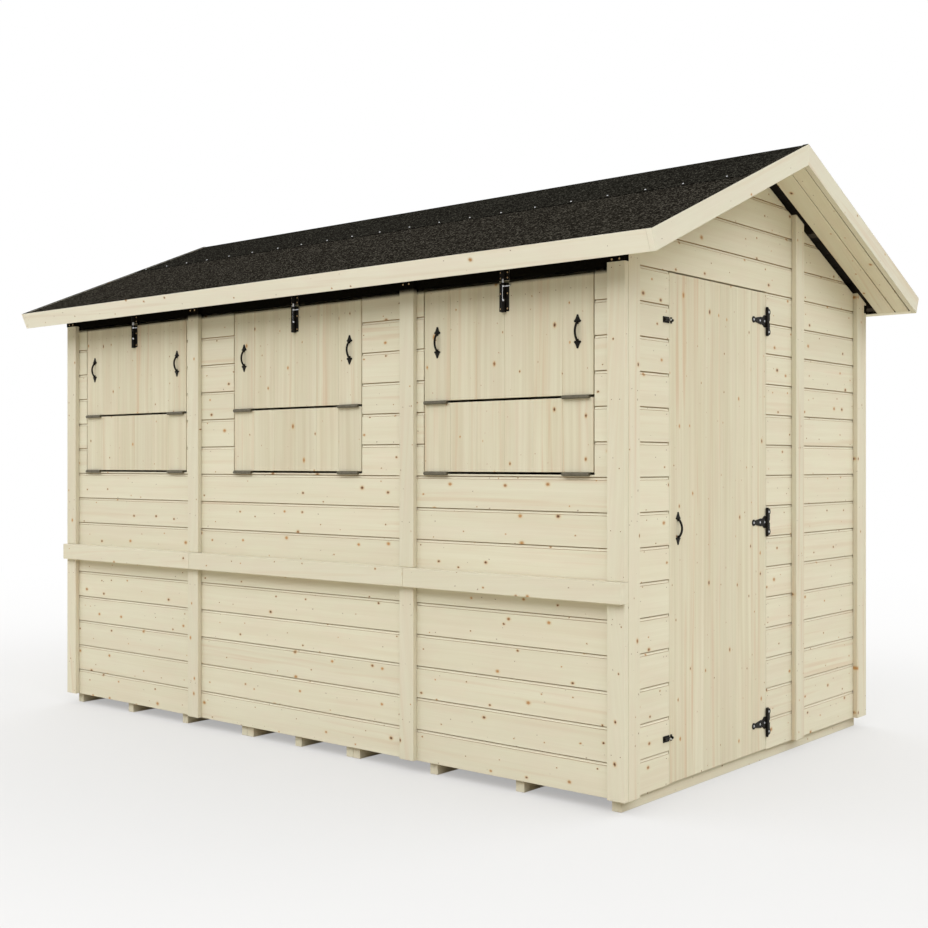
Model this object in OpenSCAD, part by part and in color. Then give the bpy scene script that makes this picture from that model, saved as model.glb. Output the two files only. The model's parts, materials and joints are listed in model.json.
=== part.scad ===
// Timber bar shed with three drop-front hatches, a counter rail and a boarded door.
// The origin is at ground level under the middle of the shed. +X runs along the front wall towards the
// door gable, +Y runs from the front wall to the back wall, and +Z is up.

/* [Overall] */
// Length of the shed over the front cladding
body_len = 2992; // [2700:1:3600]
// Depth of the shed over the gable cladding
body_dep = 1800; // [1700:1:2200]
// Height of the front and back wall boards, from their foot to the roof
eaves_h = 1726; // [1706:1:1900]
// Slope of the roof in degrees
pitch = 23; // [18:0.5:26]
// Width of the middle section of the front and back walls
middle_len = 1200; // [1000:1:1300]
// Width of the gable section that holds the door
door_section = 1200; // [1100:1:1300]

/* [Boards and battens] */
// Thickness of the wall boards
clad_t = 12; // [10:0.5:19]
// Width of a frame batten across the wall
stud_w = 28; // [25:1:45]
// Depth of a frame batten into the room
stud_d = 44; // [34:1:60]
// Thickness of the cover strips
strip_t = 20; // [12:1:25]
// Width of the cover strips
strip_w = 67; // [50:1:80]
// Height of the counter rail
rail_h = 68; // [50:1:90]
// Thickness of the counter rail
rail_t = 41; // [34:1:60]
// Height of the rail's underside above the foot of the wall
rail_z = 615; // [500:1:700]

/* [Floor] */
// Width of a floor bearer
bearer_w = 35; // [30:1:45]
// Height of a floor bearer
bearer_h = 42; // [35:1:60]
// Thickness of the floor boards
floor_t = 12; // [10:0.5:19]
// Width of the middle floor section
floor_mid = 596; // [500:1:700]

/* [Hatches] */
// Width of a hatch leaf
hatch_w = 715; // [600:1:740]
// Height of the counter line above the foot of the wall
sill_z = 1014; // [950:1:1050]
// Height of a lower leaf
lower_leaf_h = 239; // [200:1:300]
// Height of an upper leaf
upper_leaf_h = 386; // [300:1:400]
// Gap at a leaf's hinged edge
hinge_gap = 8; // [6:0.5:10]
// Gap at a leaf's other edges
leaf_gap = 5; // [4:0.5:8]
// Distance of the outer hatches from the middle of the shed
hatch_pitch = 1027.5; // [1000:0.5:1040]

/* [Door] */
// Width of the door
door_w = 672; // [560:1:700]
// Height of the door
door_h = 1673; // [1500:1:1680]
// Distance from the front cladding to the door's closing edge
door_setback = 280; // [240:1:320]
// Gap between the door and its opening
door_gap = 6; // [5.5:0.5:8]
// Gap under the door, above the foot of the wall
door_foot_gap = 3; // [2:0.5:6]
// Thickness of the door's ledges and braces
ledge_t = 20; // [16:1:25]
// Height of a door ledge
ledge_h = 95; // [70:1:120]

/* [Roof] */
// Depth of the gable boards and eaves boards
edge_h = 70; // [65:1:95]
// Thickness of the gable boards and eaves boards
edge_t = 20; // [15:1:25]
// Overhang at each gable, from the cladding to the gable board's face
gable_over = 194; // [150:1:240]
// Overhang at the eaves, from the cladding to the eaves board's top edge
eaves_over = 148; // [100:1:200]
// Thickness of one layer of felt
felt_t = 2; // [1.5:0.5:4]
// Thickness of the roof boards
deck_t = 10; // [8:0.5:18]
// Thickness of the boards under the gable overhang
soffit_t = 12; // [9:0.5:16]
// Width of the boards under the gable overhang
soffit_w = 63; // [50:1:70]
// Width of a purlin, measured along the slope
purlin_w = 28; // [25:1:45]
// Distance down the slope from the ridge to the lower edge of the ridge felt
cap_s = 465; // [350:1:500]
// Width of the lap between the ridge felt and the felt below it
lap_w = 48; // [40:1:75]

/* [Ironwork] */
// Distance between the feet of a bow pull
pull_span = 65; // [58:1:90]
// Distance from the board to the middle of a bow pull's bar
pull_rise = 16; // [14:0.5:30]
// Radius of a bow pull's bar
pull_r = 3.7; // [3:0.1:5]
// Length of a butt hinge
butt_len = 105; // [75:1:110]
// Radius of the pin in a door hinge
pin_r = 2; // [1.5:0.1:3]
// Length of a door hinge's strap, from the pin to the end of its ring
strap_len = 107; // [95:1:150]
// Height of a door hinge's wall plate
plate_h = 105; // [95:1:130]
// Height of the knuckle on a door hinge's strap
knuckle_h = 44; // [36:1:50]
// Width of a tower bolt's plate
bolt_w = 40; // [30:1:50]
// Height of a tower bolt's plate
bolt_h = 95; // [85:1:120]
// Radius of a tower bolt's rod
bolt_r = 4.5; // [3:0.1:5]

/* [Hidden] */

// Colours
spruce = "#e3d7b4";
planed = "#e6dcc0";
batten = "#dcc998";
felt_black = "#26252a";
iron = "#1d1c1b";
steel = "#b9bcbe";
hinge_grey = "#6f7266";

// Clearances
fit = 0.5;           // between timbers that are cut to meet in one frame
seam = 1;            // between boards and strips that butt in one row
bed = 0.1;           // between the layers of the roof
floor_gap = 5.5;     // between the floor's edge and the back of the wall boards
run_r = 0.05;        // radial clearance of a hinge pin
proud = 1;           // how far a cutting solid passes the faces it cuts

// The box of the walls
face_x = body_len / 2;
face_y = body_dep / 2;
back_x = face_x - clad_t;
back_y = face_y - clad_t;
room_x = back_x - stud_d;
room_y = back_y - stud_d;
wall_z = bearer_h;
plate_z = bearer_h + floor_t;
stud_z = plate_z + stud_w + fit;
joint_x = middle_len / 2;
joint_y = door_section - face_y;

// The roof's slope, and the depths of its layers below the top of the edge boards
cos_p = cos(pitch);
sin_p = sin(pitch);
tan_p = tan(pitch);
felt_d = felt_t;
deck_d = felt_d + felt_t;
purlin_d = deck_d + deck_t;
soffit_d = edge_h - soffit_t;
ridge_h = wall_z + eaves_h + edge_h / cos_p + face_y * tan_p;
rake_d = soffit_d + stud_w;
edge_s = (face_y + eaves_over) / cos_p;
inner_s = edge_s - edge_t;
edge_x = face_x + gable_over;
inner_x = edge_x - edge_t;
plate_s = (back_y - stud_d / 2) / cos_p + soffit_d * tan_p;

// Height of the roof's plane at depth d below the edge boards' top, over a line y from the ridge
function under(y, d) = ridge_h - d / cos_p - abs(y) * tan_p;

// A point on the front slope, s down the slope from the ridge and d square to it
function slope_pt(s, d) = [-s * cos_p + d * sin_p, ridge_h - s * sin_p - d * cos_p];

// Upright outline from y0 to y1 that stands on z0 and is cut to the roof at depth d
function gable_outline(y0, y1, z0, d) = concat(
    [[y0, z0], [y1, z0], [y1, under(y1, d)]],
    y0 < 0 && y1 > 0 ? [[0, under(0, d)]] : [],
    [[y0, under(y0, d)]]
);

// Places of the hatches, the counter rail and the door
hatch_x = [-hatch_pitch, 0, hatch_pitch];
hatch_z0 = wall_z + sill_z;
lower_z = hatch_z0 + hinge_gap;
upper_z = lower_z + lower_leaf_h + hinge_gap;
hatch_z1 = upper_z + upper_leaf_h + leaf_gap;
hatch_open_w = hatch_w + 2 * leaf_gap;
rail_z0 = wall_z + rail_z;
rail_z1 = rail_z0 + rail_h;
plate_rise = 11;
head_plate_z = hatch_z1 + stud_w + plate_rise;

door_y0 = door_setback - face_y;
door_y1 = door_y0 + door_w;
door_z0 = wall_z + door_foot_gap;
door_z1 = door_z0 + door_h;
open_y0 = door_y0 - door_gap;
open_y1 = door_y1 + door_gap;
open_z1 = door_z1 + door_gap;
ledge_in = 30;
top_hinge_down = 104;
foot_hinge_up = 97;
hinge_z = [door_z1 - top_hinge_down, (door_z0 + foot_hinge_up + door_z1 - top_hinge_down) / 2,
           door_z0 + foot_hinge_up];

// Ironwork sizes
plate_t = 2.5;
knuckle_r = 4.5;
pin_x = face_x + plate_t + knuckle_r - 1;
pin_y = door_y1 + door_gap / 2;

// ---------- shared shapes ----------

// Extrudes an outline drawn as [y, z] from x0 to x1
module along_x(x0, x1) {
    translate([x0, 0, 0]) rotate([90, 0, 90]) linear_extrude(x1 - x0) children();
}

module block(x0, x1, y0, y1, z0, z1) {
    translate([x0, y0, z0]) cube([x1 - x0, y1 - y0, z1 - z0]);
}

// A wall piece from x0 to x1 and y0 to y1, cut to the roof at depth d
module under_roof(x0, x1, y0, y1, z0, d) {
    along_x(x0, x1) polygon(gable_outline(y0, y1, z0, d));
}

// A bar along X in the front slope, from s0 to s1 down the slope and d0 to d1 deep
module slope_bar(x0, x1, s0, s1, d0, d1) {
    along_x(x0, x1) polygon([slope_pt(s0, d0), slope_pt(s1, d0), slope_pt(s1, d1), slope_pt(s0, d1)]);
}

// A sheet in the front slope from the ridge to s_end, held back from the ridge plane by gap
module slope_sheet(x0, x1, s_end, d0, d1, gap = 0) {
    along_x(x0, x1)
        polygon([[-gap, under(gap, d0)], slope_pt(s_end, d0), slope_pt(s_end, d1), [-gap, under(gap, d1)]]);
}

module both_slopes() {
    children();
    mirror([0, 1, 0]) children();
}

module both_ends() {
    children();
    mirror([1, 0, 0]) children();
}

// ---------- floor ----------

// Middles of the bearers: four under each end section and three under the middle one
function bearer_row(x0, x1, n) =
    [for (i = [0 : n - 1]) x0 + bearer_w / 2 + i * (x1 - x0 - bearer_w) / (n - 1)];

floor_x = back_x - floor_gap;
floor_y = back_y - floor_gap;
bearer_x = concat(
    bearer_row(-floor_x, -floor_mid / 2 - fit, 4),
    bearer_row(-floor_mid / 2 + fit, floor_mid / 2 - fit, 3),
    bearer_row(floor_mid / 2 + fit, floor_x, 4)
);

module floor_bearers() {
    color(batten)
        for (x = bearer_x)
            block(x - bearer_w / 2, x + bearer_w / 2, -floor_y, floor_y, 0, bearer_h);
}

module floor_section(x0, x1) {
    color(planed) block(x0, x1, -floor_y, floor_y, bearer_h, plate_z);
}

// ---------- walls ----------

module front_boards(x0, x1, cx) {
    color(spruce)
        difference() {
            under_roof(x0, x1, -face_y, -back_y, wall_z, edge_h);
            block(cx - hatch_open_w / 2, cx + hatch_open_w / 2, -face_y - proud, -back_y + proud,
                  hatch_z0, hatch_z1);
        }
}

module back_boards(x0, x1) {
    color(spruce) under_roof(x0, x1, back_y, face_y, wall_z, edge_h);
}

module left_boards(y0, y1) {
    color(spruce) under_roof(-face_x, -back_x, y0, y1, wall_z, edge_h);
}

module right_boards(y0, y1, z1) {
    color(spruce) block(back_x, face_x, y0, y1, wall_z, z1);
}

module right_wall_over_door() {
    color(spruce) under_roof(back_x, face_x, -back_y, joint_y, open_z1, edge_h);
}

module right_wall_rear() {
    color(spruce) under_roof(back_x, face_x, joint_y, back_y, wall_z, edge_h);
}

// ---------- frames ----------

// Bottom plate, top plate and studs of one front or back section; the studs stand at the places in xs
module long_frame(x0, x1, xs) {
    block(x0 + fit / 2, x1 - fit / 2, -back_y, -room_y, plate_z, plate_z + stud_w);
    under_roof(x0 + fit / 2, x1 - fit / 2, -back_y, -room_y, head_plate_z + fit, soffit_d);
    for (x = xs)
        block(x, x + stud_w, -back_y, -room_y, stud_z, head_plate_z);
}

// Edge studs of a section
function edge_studs(x0, x1) = [x0 + fit / 2, x1 - fit / 2 - stud_w];

// Left edges of n studs spread evenly between two edge studs
function between_studs(x0, x1, n) = [for (i = [1 : n]) x0 + i * (x1 - x0 - stud_w) / (n + 1)];

module hatch_frame(x0, x1, cx) {
    hx0 = cx - hatch_open_w / 2;
    hx1 = cx + hatch_open_w / 2;
    long_frame(x0, x1, concat(edge_studs(x0, x1), [hx0 - stud_w, hx1]));
    for (z = [hatch_z0 - stud_w, hatch_z1, (rail_z0 + rail_z1 - stud_w) / 2])
        block(hx0 + fit, hx1 - fit, -back_y, -room_y, z, z + stud_w);
}

module front_frames() {
    color(batten) {
        hatch_frame(-back_x, -joint_x, hatch_x[0]);
        hatch_frame(-joint_x, joint_x, hatch_x[1]);
        hatch_frame(joint_x, back_x, hatch_x[2]);
    }
}

module plain_frame(x0, x1, n) {
    long_frame(x0, x1, concat(edge_studs(x0, x1), between_studs(x0, x1, n)));
}

module back_frames() {
    color(batten)
        mirror([0, 1, 0]) {
            plain_frame(-back_x, -joint_x, 1);
            plain_frame(-joint_x, joint_x, 2);
            plain_frame(joint_x, back_x, 1);
        }
}

// Studs, bottom plate and raking plates of a gable; each stud stands at a place in ys, from its own z0
module gable_frame(studs, plates) {
    for (p = plates)
        block(room_x, back_x, p[0], p[1], plate_z, plate_z + stud_w);
    for (y = studs)
        under_roof(room_x, back_x, y, y + stud_w, stud_z, rake_d + fit);
    both_slopes()
        along_x(room_x, back_x)
            polygon([[-fit / 2, under(0, soffit_d)], [-room_y + fit, under(room_y - fit, soffit_d)],
                     [-room_y + fit, under(room_y - fit, rake_d)], [-fit / 2, under(0, rake_d)]]);
}

gable_y = room_y - fit;
corner_studs = [-gable_y, gable_y - stud_w];
joint_studs = [joint_y - fit / 2 - stud_w, joint_y + fit / 2];
rear_stud = (joint_y + gable_y - stud_w) / 2;

module left_frames() {
    color(batten)
        mirror([1, 0, 0])
            gable_frame(
                concat(corner_studs, joint_studs, [rear_stud],
                       between_studs(-gable_y, joint_y, 2)),
                [[-gable_y, joint_y - fit / 2], [joint_y + fit / 2, gable_y]]
            );
}

module right_frames() {
    color(batten) {
        gable_frame(
            concat(corner_studs, joint_studs, [rear_stud, open_y0 - stud_w, open_y1]),
            [[-gable_y, open_y0], [open_y1, joint_y - fit / 2], [joint_y + fit / 2, gable_y]]
        );
        block(room_x, back_x, open_y0 + fit, open_y1 - fit, open_z1, open_z1 + stud_w);
    }
}

// ---------- cover strips and counter rail ----------

// A front strip in two lengths that stop at the counter rail
module cut_strip(x0, x1) {
    block(x0, x1, -face_y - strip_t, -face_y, wall_z, rail_z0);
    under_roof(x0, x1, -face_y - strip_t, -face_y, rail_z1, edge_h);
}

// A back strip in one length
module full_strip(x0, x1) {
    under_roof(x0, x1, face_y, face_y + strip_t, wall_z, edge_h);
}

corner_x = face_x + strip_t;

// Each corner has a strip on the long wall that covers the end of the strip on the gable
module corner_strips() {
    color(planed)
        both_ends() {
            cut_strip(corner_x - strip_w, corner_x);
            full_strip(corner_x - strip_w, corner_x);
            both_slopes()
                under_roof(face_x, corner_x, face_y - seam - strip_w, face_y - seam, wall_z, edge_h);
        }
}

module joint_strips() {
    color(planed)
        both_ends() {
            cut_strip(joint_x - strip_w / 2, joint_x + strip_w / 2);
            full_strip(joint_x - strip_w / 2, joint_x + strip_w / 2);
            under_roof(face_x, corner_x, joint_y - strip_w / 2, joint_y + strip_w / 2, wall_z, edge_h);
        }
}

module counter_rail() {
    color(planed)
        for (x = [[-corner_x, -joint_x - seam / 2], [-joint_x + seam / 2, joint_x - seam / 2],
                  [joint_x + seam / 2, corner_x]])
            block(x[0], x[1], -face_y - rail_t, -face_y, rail_z0, rail_z1);
}

// ---------- hatches ----------

leaf_ledge_t = 16;
leaf_ledge_h = 50;
leaf_ledge_in = 50;

// One leaf: upright boards with two ledges behind them
module hatch_leaf(cx, z0, h) {
    color(spruce) {
        block(cx - hatch_w / 2, cx + hatch_w / 2, -face_y, -back_y, z0, z0 + h);
        for (z = [z0 + h / 6, z0 + h * 5 / 6 - leaf_ledge_h])
            block(cx - hatch_w / 2 + leaf_ledge_in, cx + hatch_w / 2 - leaf_ledge_in,
                  -back_y - fit, -back_y + leaf_ledge_t, z, z + leaf_ledge_h);
    }
}

// A butt hinge in a gap, lying along X with its left end at x0 and the gap's middle at z
// Its barrel stands proud of the leaves and hangs below the gap, clear of the boards by butt_air
module butt_hinge(x0, z) {
    barrel_r = 6;
    butt_air = 0.3;
    barrel_y = -face_y - barrel_r - butt_air;
    flap_t = 1.8;
    flap_w = 23.5;
    translate([x0, barrel_y, z + hinge_gap / 2 - butt_air - barrel_r])
        rotate([0, 90, 0])
            cylinder(r = barrel_r, h = butt_len, $fn = 32);
    for (z0 = [z - hinge_gap / 2, z + hinge_gap / 2 - flap_t])
        block(x0, x0 + butt_len, barrel_y + 1, -face_y + flap_w, z0, z0 + flap_t);
}

module hatch_hinges() {
    butt_in_left = 4;
    butt_in_right = 11;
    color(hinge_grey)
        for (cx = hatch_x, z = [hatch_z0 + hinge_gap / 2, upper_z - hinge_gap / 2]) {
            butt_hinge(cx - hatch_w / 2 + butt_in_left, z);
            butt_hinge(cx + hatch_w / 2 - butt_in_right - butt_len, z);
        }
}

// Outline of a pull's spade foot, drawn as [across, up] with its neck at the origin and its point upwards
module spade_outline() {
    spade_h = 29;
    neck = 4;
    waist = [6.5, 18];
    shoulder = [10, 8];
    shoulder_r = 3.5;
    tip = 2.5;
    half = [
        [neck, -2], [neck, 3], shoulder - [0, shoulder_r], shoulder + [0, shoulder_r], waist,
        [tip, spade_h - 1], [tip - 1, spade_h], [0, spade_h], [0, -2],
    ];
    for (m = [0, 1])
        mirror([m, 0]) {
            polygon(half);
            translate(shoulder) circle(r = shoulder_r, $fn = 24);
        }
}

// A forged bow pull on a face at y = 0, standing out towards -Y, upright and centred on z = 0
module bow_pull() {
    bow_r = (pull_span * pull_span / 4 + pull_rise * pull_rise) / (2 * pull_rise);
    foot_lap = 7;
    intersection() {
        translate([0, bow_r - pull_rise, 0])
            rotate([0, 90, 0])
                rotate_extrude($fn = 64)
                    translate([bow_r, 0])
                        circle(r = pull_r, $fn = 24);
        block(-pull_r - proud, pull_r + proud, -pull_rise - pull_r - proud, 0, -pull_span, pull_span);
    }
    for (m = [0, 1])
        mirror([0, 0, m])
            translate([0, 0, pull_span / 2 - foot_lap])
                rotate([90, 0, 0])
                    linear_extrude(plate_t)
                        spade_outline();
}

module hatch_pulls() {
    pull_in = 60;
    pull_z = upper_z + 203;
    color(iron)
        for (cx = hatch_x, x = [cx - hatch_w / 2 + pull_in, cx + hatch_w / 2 - pull_in])
            translate([x, -face_y, pull_z])
                bow_pull();
}

// Tower bolts: a plate with a slotted barrel, a rod that runs in it, and a keeper on the wall above
bolt_z1 = hatch_z1 - leaf_gap - 2;
bolt_z0 = bolt_z1 - bolt_h;
barrel_r = bolt_r + 3.5;
rod_off = plate_t + bolt_r;
keeper_z = hatch_z1 + 1;
keeper_h = 40;
lever_r = 3;
lever_z = bolt_z1 - 11;
slot_h = 47;

// A length of barrel on a plate at y = 0, from z0 to z1, bored for the rod
module bolt_barrel(z0, z1) {
    difference() {
        union() {
            translate([0, -rod_off, z0]) cylinder(r = barrel_r, h = z1 - z0, $fn = 48);
            block(-barrel_r, barrel_r, -rod_off, 0, z0, z1);
        }
        translate([0, -rod_off, z0 - proud]) cylinder(r = bolt_r, h = z1 - z0 + 2 * proud, $fn = 48);
        block(-barrel_r - proud, barrel_r + proud, 0, barrel_r, z0 - proud, z1 + proud);
    }
}

// The slot that the lever runs in, with a notch to its right at each end
module bolt_slot() {
    slot_r = lever_r + fit;
    out = rod_off + barrel_r + proud;
    block(-slot_r, slot_r, -out, -rod_off, lever_z - slot_h, lever_z + slot_r);
    for (z = [lever_z, lever_z - slot_h])
        block(0, barrel_r + proud, -out, -rod_off + slot_r, z - slot_r, z + slot_r);
}

module tower_bolt_plate() {
    barrel_out = 3;
    block(-bolt_w / 2, bolt_w / 2, -plate_t, 0, bolt_z0, bolt_z1);
    difference() {
        bolt_barrel(bolt_z0 - barrel_out, bolt_z1);
        bolt_slot();
    }
}

module bolt_keeper() {
    keeper_in = 5;
    block(-bolt_w / 2, bolt_w / 2, -plate_t, 0, keeper_z, keeper_z + keeper_h);
    bolt_barrel(keeper_z + keeper_in, keeper_z + keeper_h - keeper_in);
}

module hatch_bolts() {
    color(iron)
        for (cx = hatch_x)
            translate([cx, -face_y, 0]) {
                tower_bolt_plate();
                bolt_keeper();
            }
}

module bolt_rods() {
    rod_z0 = lever_z - slot_h - 12;
    lever_len = 30;
    color(steel)
        for (cx = hatch_x)
            translate([cx, -face_y - rod_off, 0]) {
                translate([0, 0, rod_z0])
                    cylinder(r = bolt_r - run_r, h = keeper_z + keeper_h - rod_z0, $fn = 48);
                translate([0, 0, lever_z])
                    rotate([0, 90, 0])
                        cylinder(r = lever_r, h = lever_len, $fn = 32);
            }
}

// ---------- door ----------

module door_boards() {
    color(spruce) block(back_x, face_x, door_y0, door_y1, door_z0, door_z1);
}

// Three ledges across the back of the door, with a brace that rises from the hinge side in each bay
module door_ledges() {
    y0 = door_y0 + ledge_in;
    y1 = door_y1 - ledge_in;
    brace_w = 80;
    color(batten) {
        for (z = hinge_z)
            block(back_x - ledge_t, back_x, y0, y1, z - ledge_h / 2, z + ledge_h / 2);
        for (i = [0, 1]) {
            z0 = hinge_z[i + 1] + ledge_h / 2 + fit;
            z1 = hinge_z[i] - ledge_h / 2 - fit;
            along_x(back_x - ledge_t, back_x)
                polygon([[y1 - brace_w, z0], [y1, z0], [y0 + brace_w, z1], [y0, z1]]);
        }
    }
}

screw_r = 2.5;

// Outline of a hinge strap that runs from the pin towards -Y: root scrolls, shoulders and an end ring
module strap_outline() {
    scroll_r = 9;
    scroll_y = -13;
    shoulder_r = 6;
    shoulder_y = -42;
    shoulder_z = 8;
    ring_r = 11.5;
    ring_y = -strap_len + ring_r;
    root_z = knuckle_h / 2 - scroll_r;
    neck_z = 6;
    difference() {
        union() {
            polygon([[-2, -root_z - scroll_r], [-2, root_z + scroll_r], [scroll_y, root_z + scroll_r],
                     [-30, 12.5], [shoulder_y, shoulder_z + shoulder_r], [ring_y, neck_z],
                     [ring_y, -neck_z], [shoulder_y, -shoulder_z - shoulder_r], [-30, -12.5],
                     [scroll_y, -root_z - scroll_r]]);
            for (m = [0, 1])
                mirror([0, m, 0]) {
                    translate([scroll_y, root_z]) circle(r = scroll_r, $fn = 48);
                    translate([shoulder_y, shoulder_z]) circle(r = shoulder_r, $fn = 48);
                }
            translate([ring_y, 0]) circle(r = ring_r, $fn = 48);
        }
        for (y = [scroll_y, shoulder_y - shoulder_r, ring_y])
            translate([y, 0]) circle(r = screw_r, $fn = 24);
    }
}

// The strap and its knuckle, which turns on the pin between the wall plate's two knuckles
module door_strap() {
    half_h = knuckle_h / 2;
    difference() {
        union() {
            along_x(face_x, face_x + plate_t) strap_outline();
            translate([pin_x, 0, -half_h]) cylinder(r = knuckle_r, h = knuckle_h, $fn = 48);
            block(face_x, pin_x, -knuckle_r, -knuckle_r + plate_t, -half_h, half_h);
        }
        translate([pin_x, 0, -knuckle_h]) cylinder(r = pin_r + run_r, h = 2 * knuckle_h, $fn = 48);
    }
}

module door_straps() {
    color(iron)
        for (z = hinge_z)
            translate([0, pin_y, z])
                door_strap();
}

// Outline of a wall plate: two lobes with a notch between them, cut off at the far corners
module wall_plate_outline() {
    y0 = door_gap / 2 + 1;
    half_h = plate_h / 2;
    plate_w = 25;
    lobe_r = 12;
    lobe_y = y0 + plate_w - 7;
    lobe_z = half_h - 16;
    chamfer = 12;
    notch_r = 5;
    difference() {
        union() {
            polygon([[y0, -half_h], [y0 + plate_w - chamfer, -half_h], [y0 + plate_w, -half_h + chamfer],
                     [y0 + plate_w, half_h - chamfer], [y0 + plate_w - chamfer, half_h], [y0, half_h]]);
            for (z = [-lobe_z, lobe_z])
                translate([lobe_y, z]) circle(r = lobe_r, $fn = 48);
        }
        translate([y0 + plate_w, 0]) circle(r = notch_r, $fn = 32);
        for (z = [-lobe_z, lobe_z])
            translate([lobe_y, z]) circle(r = screw_r, $fn = 24);
    }
}

// The plate on the wall, with a knuckle above and below the strap's and the pin through all three
module hinge_plate() {
    half_h = knuckle_h / 2 + fit;
    end_h = plate_h / 2 - half_h;
    difference() {
        along_x(face_x, face_x + plate_t) wall_plate_outline();
        block(face_x - proud, pin_x, -knuckle_r, knuckle_r + fit, -half_h, half_h);
    }
    for (m = [0, 1])
        mirror([0, 0, m]) {
            translate([pin_x, 0, half_h]) cylinder(r = knuckle_r, h = end_h, $fn = 48);
            block(face_x, pin_x, knuckle_r - plate_t, knuckle_r + fit, half_h, half_h + end_h);
        }
    translate([pin_x, 0, -half_h - proud]) cylinder(r = pin_r, h = 2 * (half_h + proud), $fn = 48);
}

module hinge_plates() {
    color(iron)
        for (z = hinge_z)
            translate([0, pin_y, z])
                hinge_plate();
}

module door_pull() {
    pull_in = 50;
    color(iron)
        translate([face_x, door_y0 + pull_in, hinge_z[1]])
            rotate([0, 0, 90])
                bow_pull();
}

// Small barrel bolts on the wall at the door's closing edge, drawn back clear of the keepers on the door
top_latch_down = 157;
foot_latch_up = 150;
latch_z = [door_z1 - top_latch_down, door_z0 + foot_latch_up];
latch_h = 20;
latch_len = 38;
latch_keep = 10;
latch_r = 5;

// A flat base from y0 to y1 with a round barrel on it, at height z
module barrel_on_base(y0, y1, z) {
    barrel_in = 2;
    block(face_x, face_x + plate_t, y0, y1, z - latch_h / 2, z + latch_h / 2);
    translate([face_x + latch_r, y0 + barrel_in, z])
        rotate([-90, 0, 0])
            cylinder(r = latch_r, h = y1 - y0 - 2 * barrel_in, $fn = 32);
}

// The bolt's knob stands up from its barrel
module door_bolts() {
    knob_r = 2.5;
    knob_in = 8;
    knob_reach = 15;
    color(iron)
        for (z = latch_z) {
            barrel_on_base(open_y0 - latch_len, open_y0 - seam, z);
            translate([face_x + latch_r, open_y0 - knob_in, z])
                rotate([0, 90, 0])
                    cylinder(r = knob_r, h = knob_reach - latch_r, $fn = 24);
        }
}

module door_keepers() {
    color(iron)
        for (z = latch_z)
            barrel_on_base(door_y0 + seam, door_y0 + latch_keep, z);
}

// ---------- roof ----------

module roof_deck() {
    color(batten) slope_sheet(-inner_x, inner_x, inner_s - bed, deck_d, purlin_d - bed);
}

// Purlins at the eaves, over the wall plate, half way up and beside the ridge, with a rafter at each end
module roof_purlins() {
    end_x = inner_x - purlin_w;
    ridge_s = soffit_d * tan_p + fit;
    color(batten)
        both_slopes() {
            for (s = [inner_s - bed - purlin_w, plate_s - purlin_w / 2, plate_s / 2, ridge_s])
                slope_bar(-end_x + fit, end_x - fit, s, s + purlin_w, purlin_d, soffit_d - bed);
            both_ends()
                slope_sheet(end_x, inner_x, inner_s - bed, purlin_d, soffit_d - bed, fit / 2);
        }
}

// Two boards side by side under each gable overhang
module soffit_boards() {
    color(spruce)
        both_ends()
            both_slopes()
                for (i = [0, 1])
                    slope_sheet(inner_x - (i + 1) * (soffit_w + seam) + seam, inner_x - i * (soffit_w + seam),
                                inner_s - bed, soffit_d, edge_h, fit / 2);
}

module side_felts() {
    color(felt_black)
        both_slopes()
            slope_bar(-inner_x, inner_x, cap_s - lap_w, inner_s - bed, felt_d + bed, deck_d - bed);
}

// The ridge felt lies on the roof boards and steps up over the top edge of each side felt
module ridge_felt() {
    step_s = cap_s - lap_w - felt_t;
    half = [
        [0, under(0, felt_d)], slope_pt(step_s - felt_t, felt_d), slope_pt(step_s, 0), slope_pt(cap_s, 0),
        slope_pt(cap_s, felt_d), slope_pt(step_s + felt_t, felt_d), slope_pt(step_s, deck_d - bed),
        [0, under(0, deck_d - bed)],
    ];
    color(felt_black)
        union() {
            along_x(-inner_x, inner_x) polygon(half);
            mirror([0, 1, 0]) along_x(-inner_x, inner_x) polygon(half);
        }
}

module fascia_boards() {
    color(planed) both_slopes() slope_bar(-inner_x, inner_x, inner_s, edge_s, 0, edge_h);
}

module barge_boards() {
    color(planed) both_ends() both_slopes() slope_sheet(inner_x, edge_x, edge_s, 0, edge_h, fit / 2);
}

floor_bearers();
floor_section(-floor_x, -floor_mid / 2);  // floor_left
floor_section(-floor_mid / 2, floor_mid / 2);  // floor_middle
floor_section(floor_mid / 2, floor_x);  // floor_right
front_boards(-face_x, -joint_x, hatch_x[0]);  // front_wall_left
front_boards(-joint_x, joint_x, hatch_x[1]);  // front_wall_middle
front_boards(joint_x, face_x, hatch_x[2]);  // front_wall_right
back_boards(-face_x, -joint_x);  // back_wall_left
back_boards(-joint_x, joint_x);  // back_wall_middle
back_boards(joint_x, face_x);  // back_wall_right
left_boards(-back_y, joint_y);  // left_wall_front
left_boards(joint_y, back_y);  // left_wall_rear
right_boards(-back_y, open_y0, open_z1);  // right_wall_latch_side
right_boards(open_y1, joint_y, open_z1);  // right_wall_hinge_side
right_wall_over_door();
right_wall_rear();
front_frames();
back_frames();
left_frames();
right_frames();
corner_strips();
joint_strips();
counter_rail();
hatch_leaf(hatch_x[0], lower_z, lower_leaf_h);  // hatch_left_lower
hatch_leaf(hatch_x[0], upper_z, upper_leaf_h);  // hatch_left_upper
hatch_leaf(hatch_x[1], lower_z, lower_leaf_h);  // hatch_middle_lower
hatch_leaf(hatch_x[1], upper_z, upper_leaf_h);  // hatch_middle_upper
hatch_leaf(hatch_x[2], lower_z, lower_leaf_h);  // hatch_right_lower
hatch_leaf(hatch_x[2], upper_z, upper_leaf_h);  // hatch_right_upper
hatch_hinges();
hatch_pulls();
hatch_bolts();
bolt_rods();
door_boards();
door_ledges();
door_straps();
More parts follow.
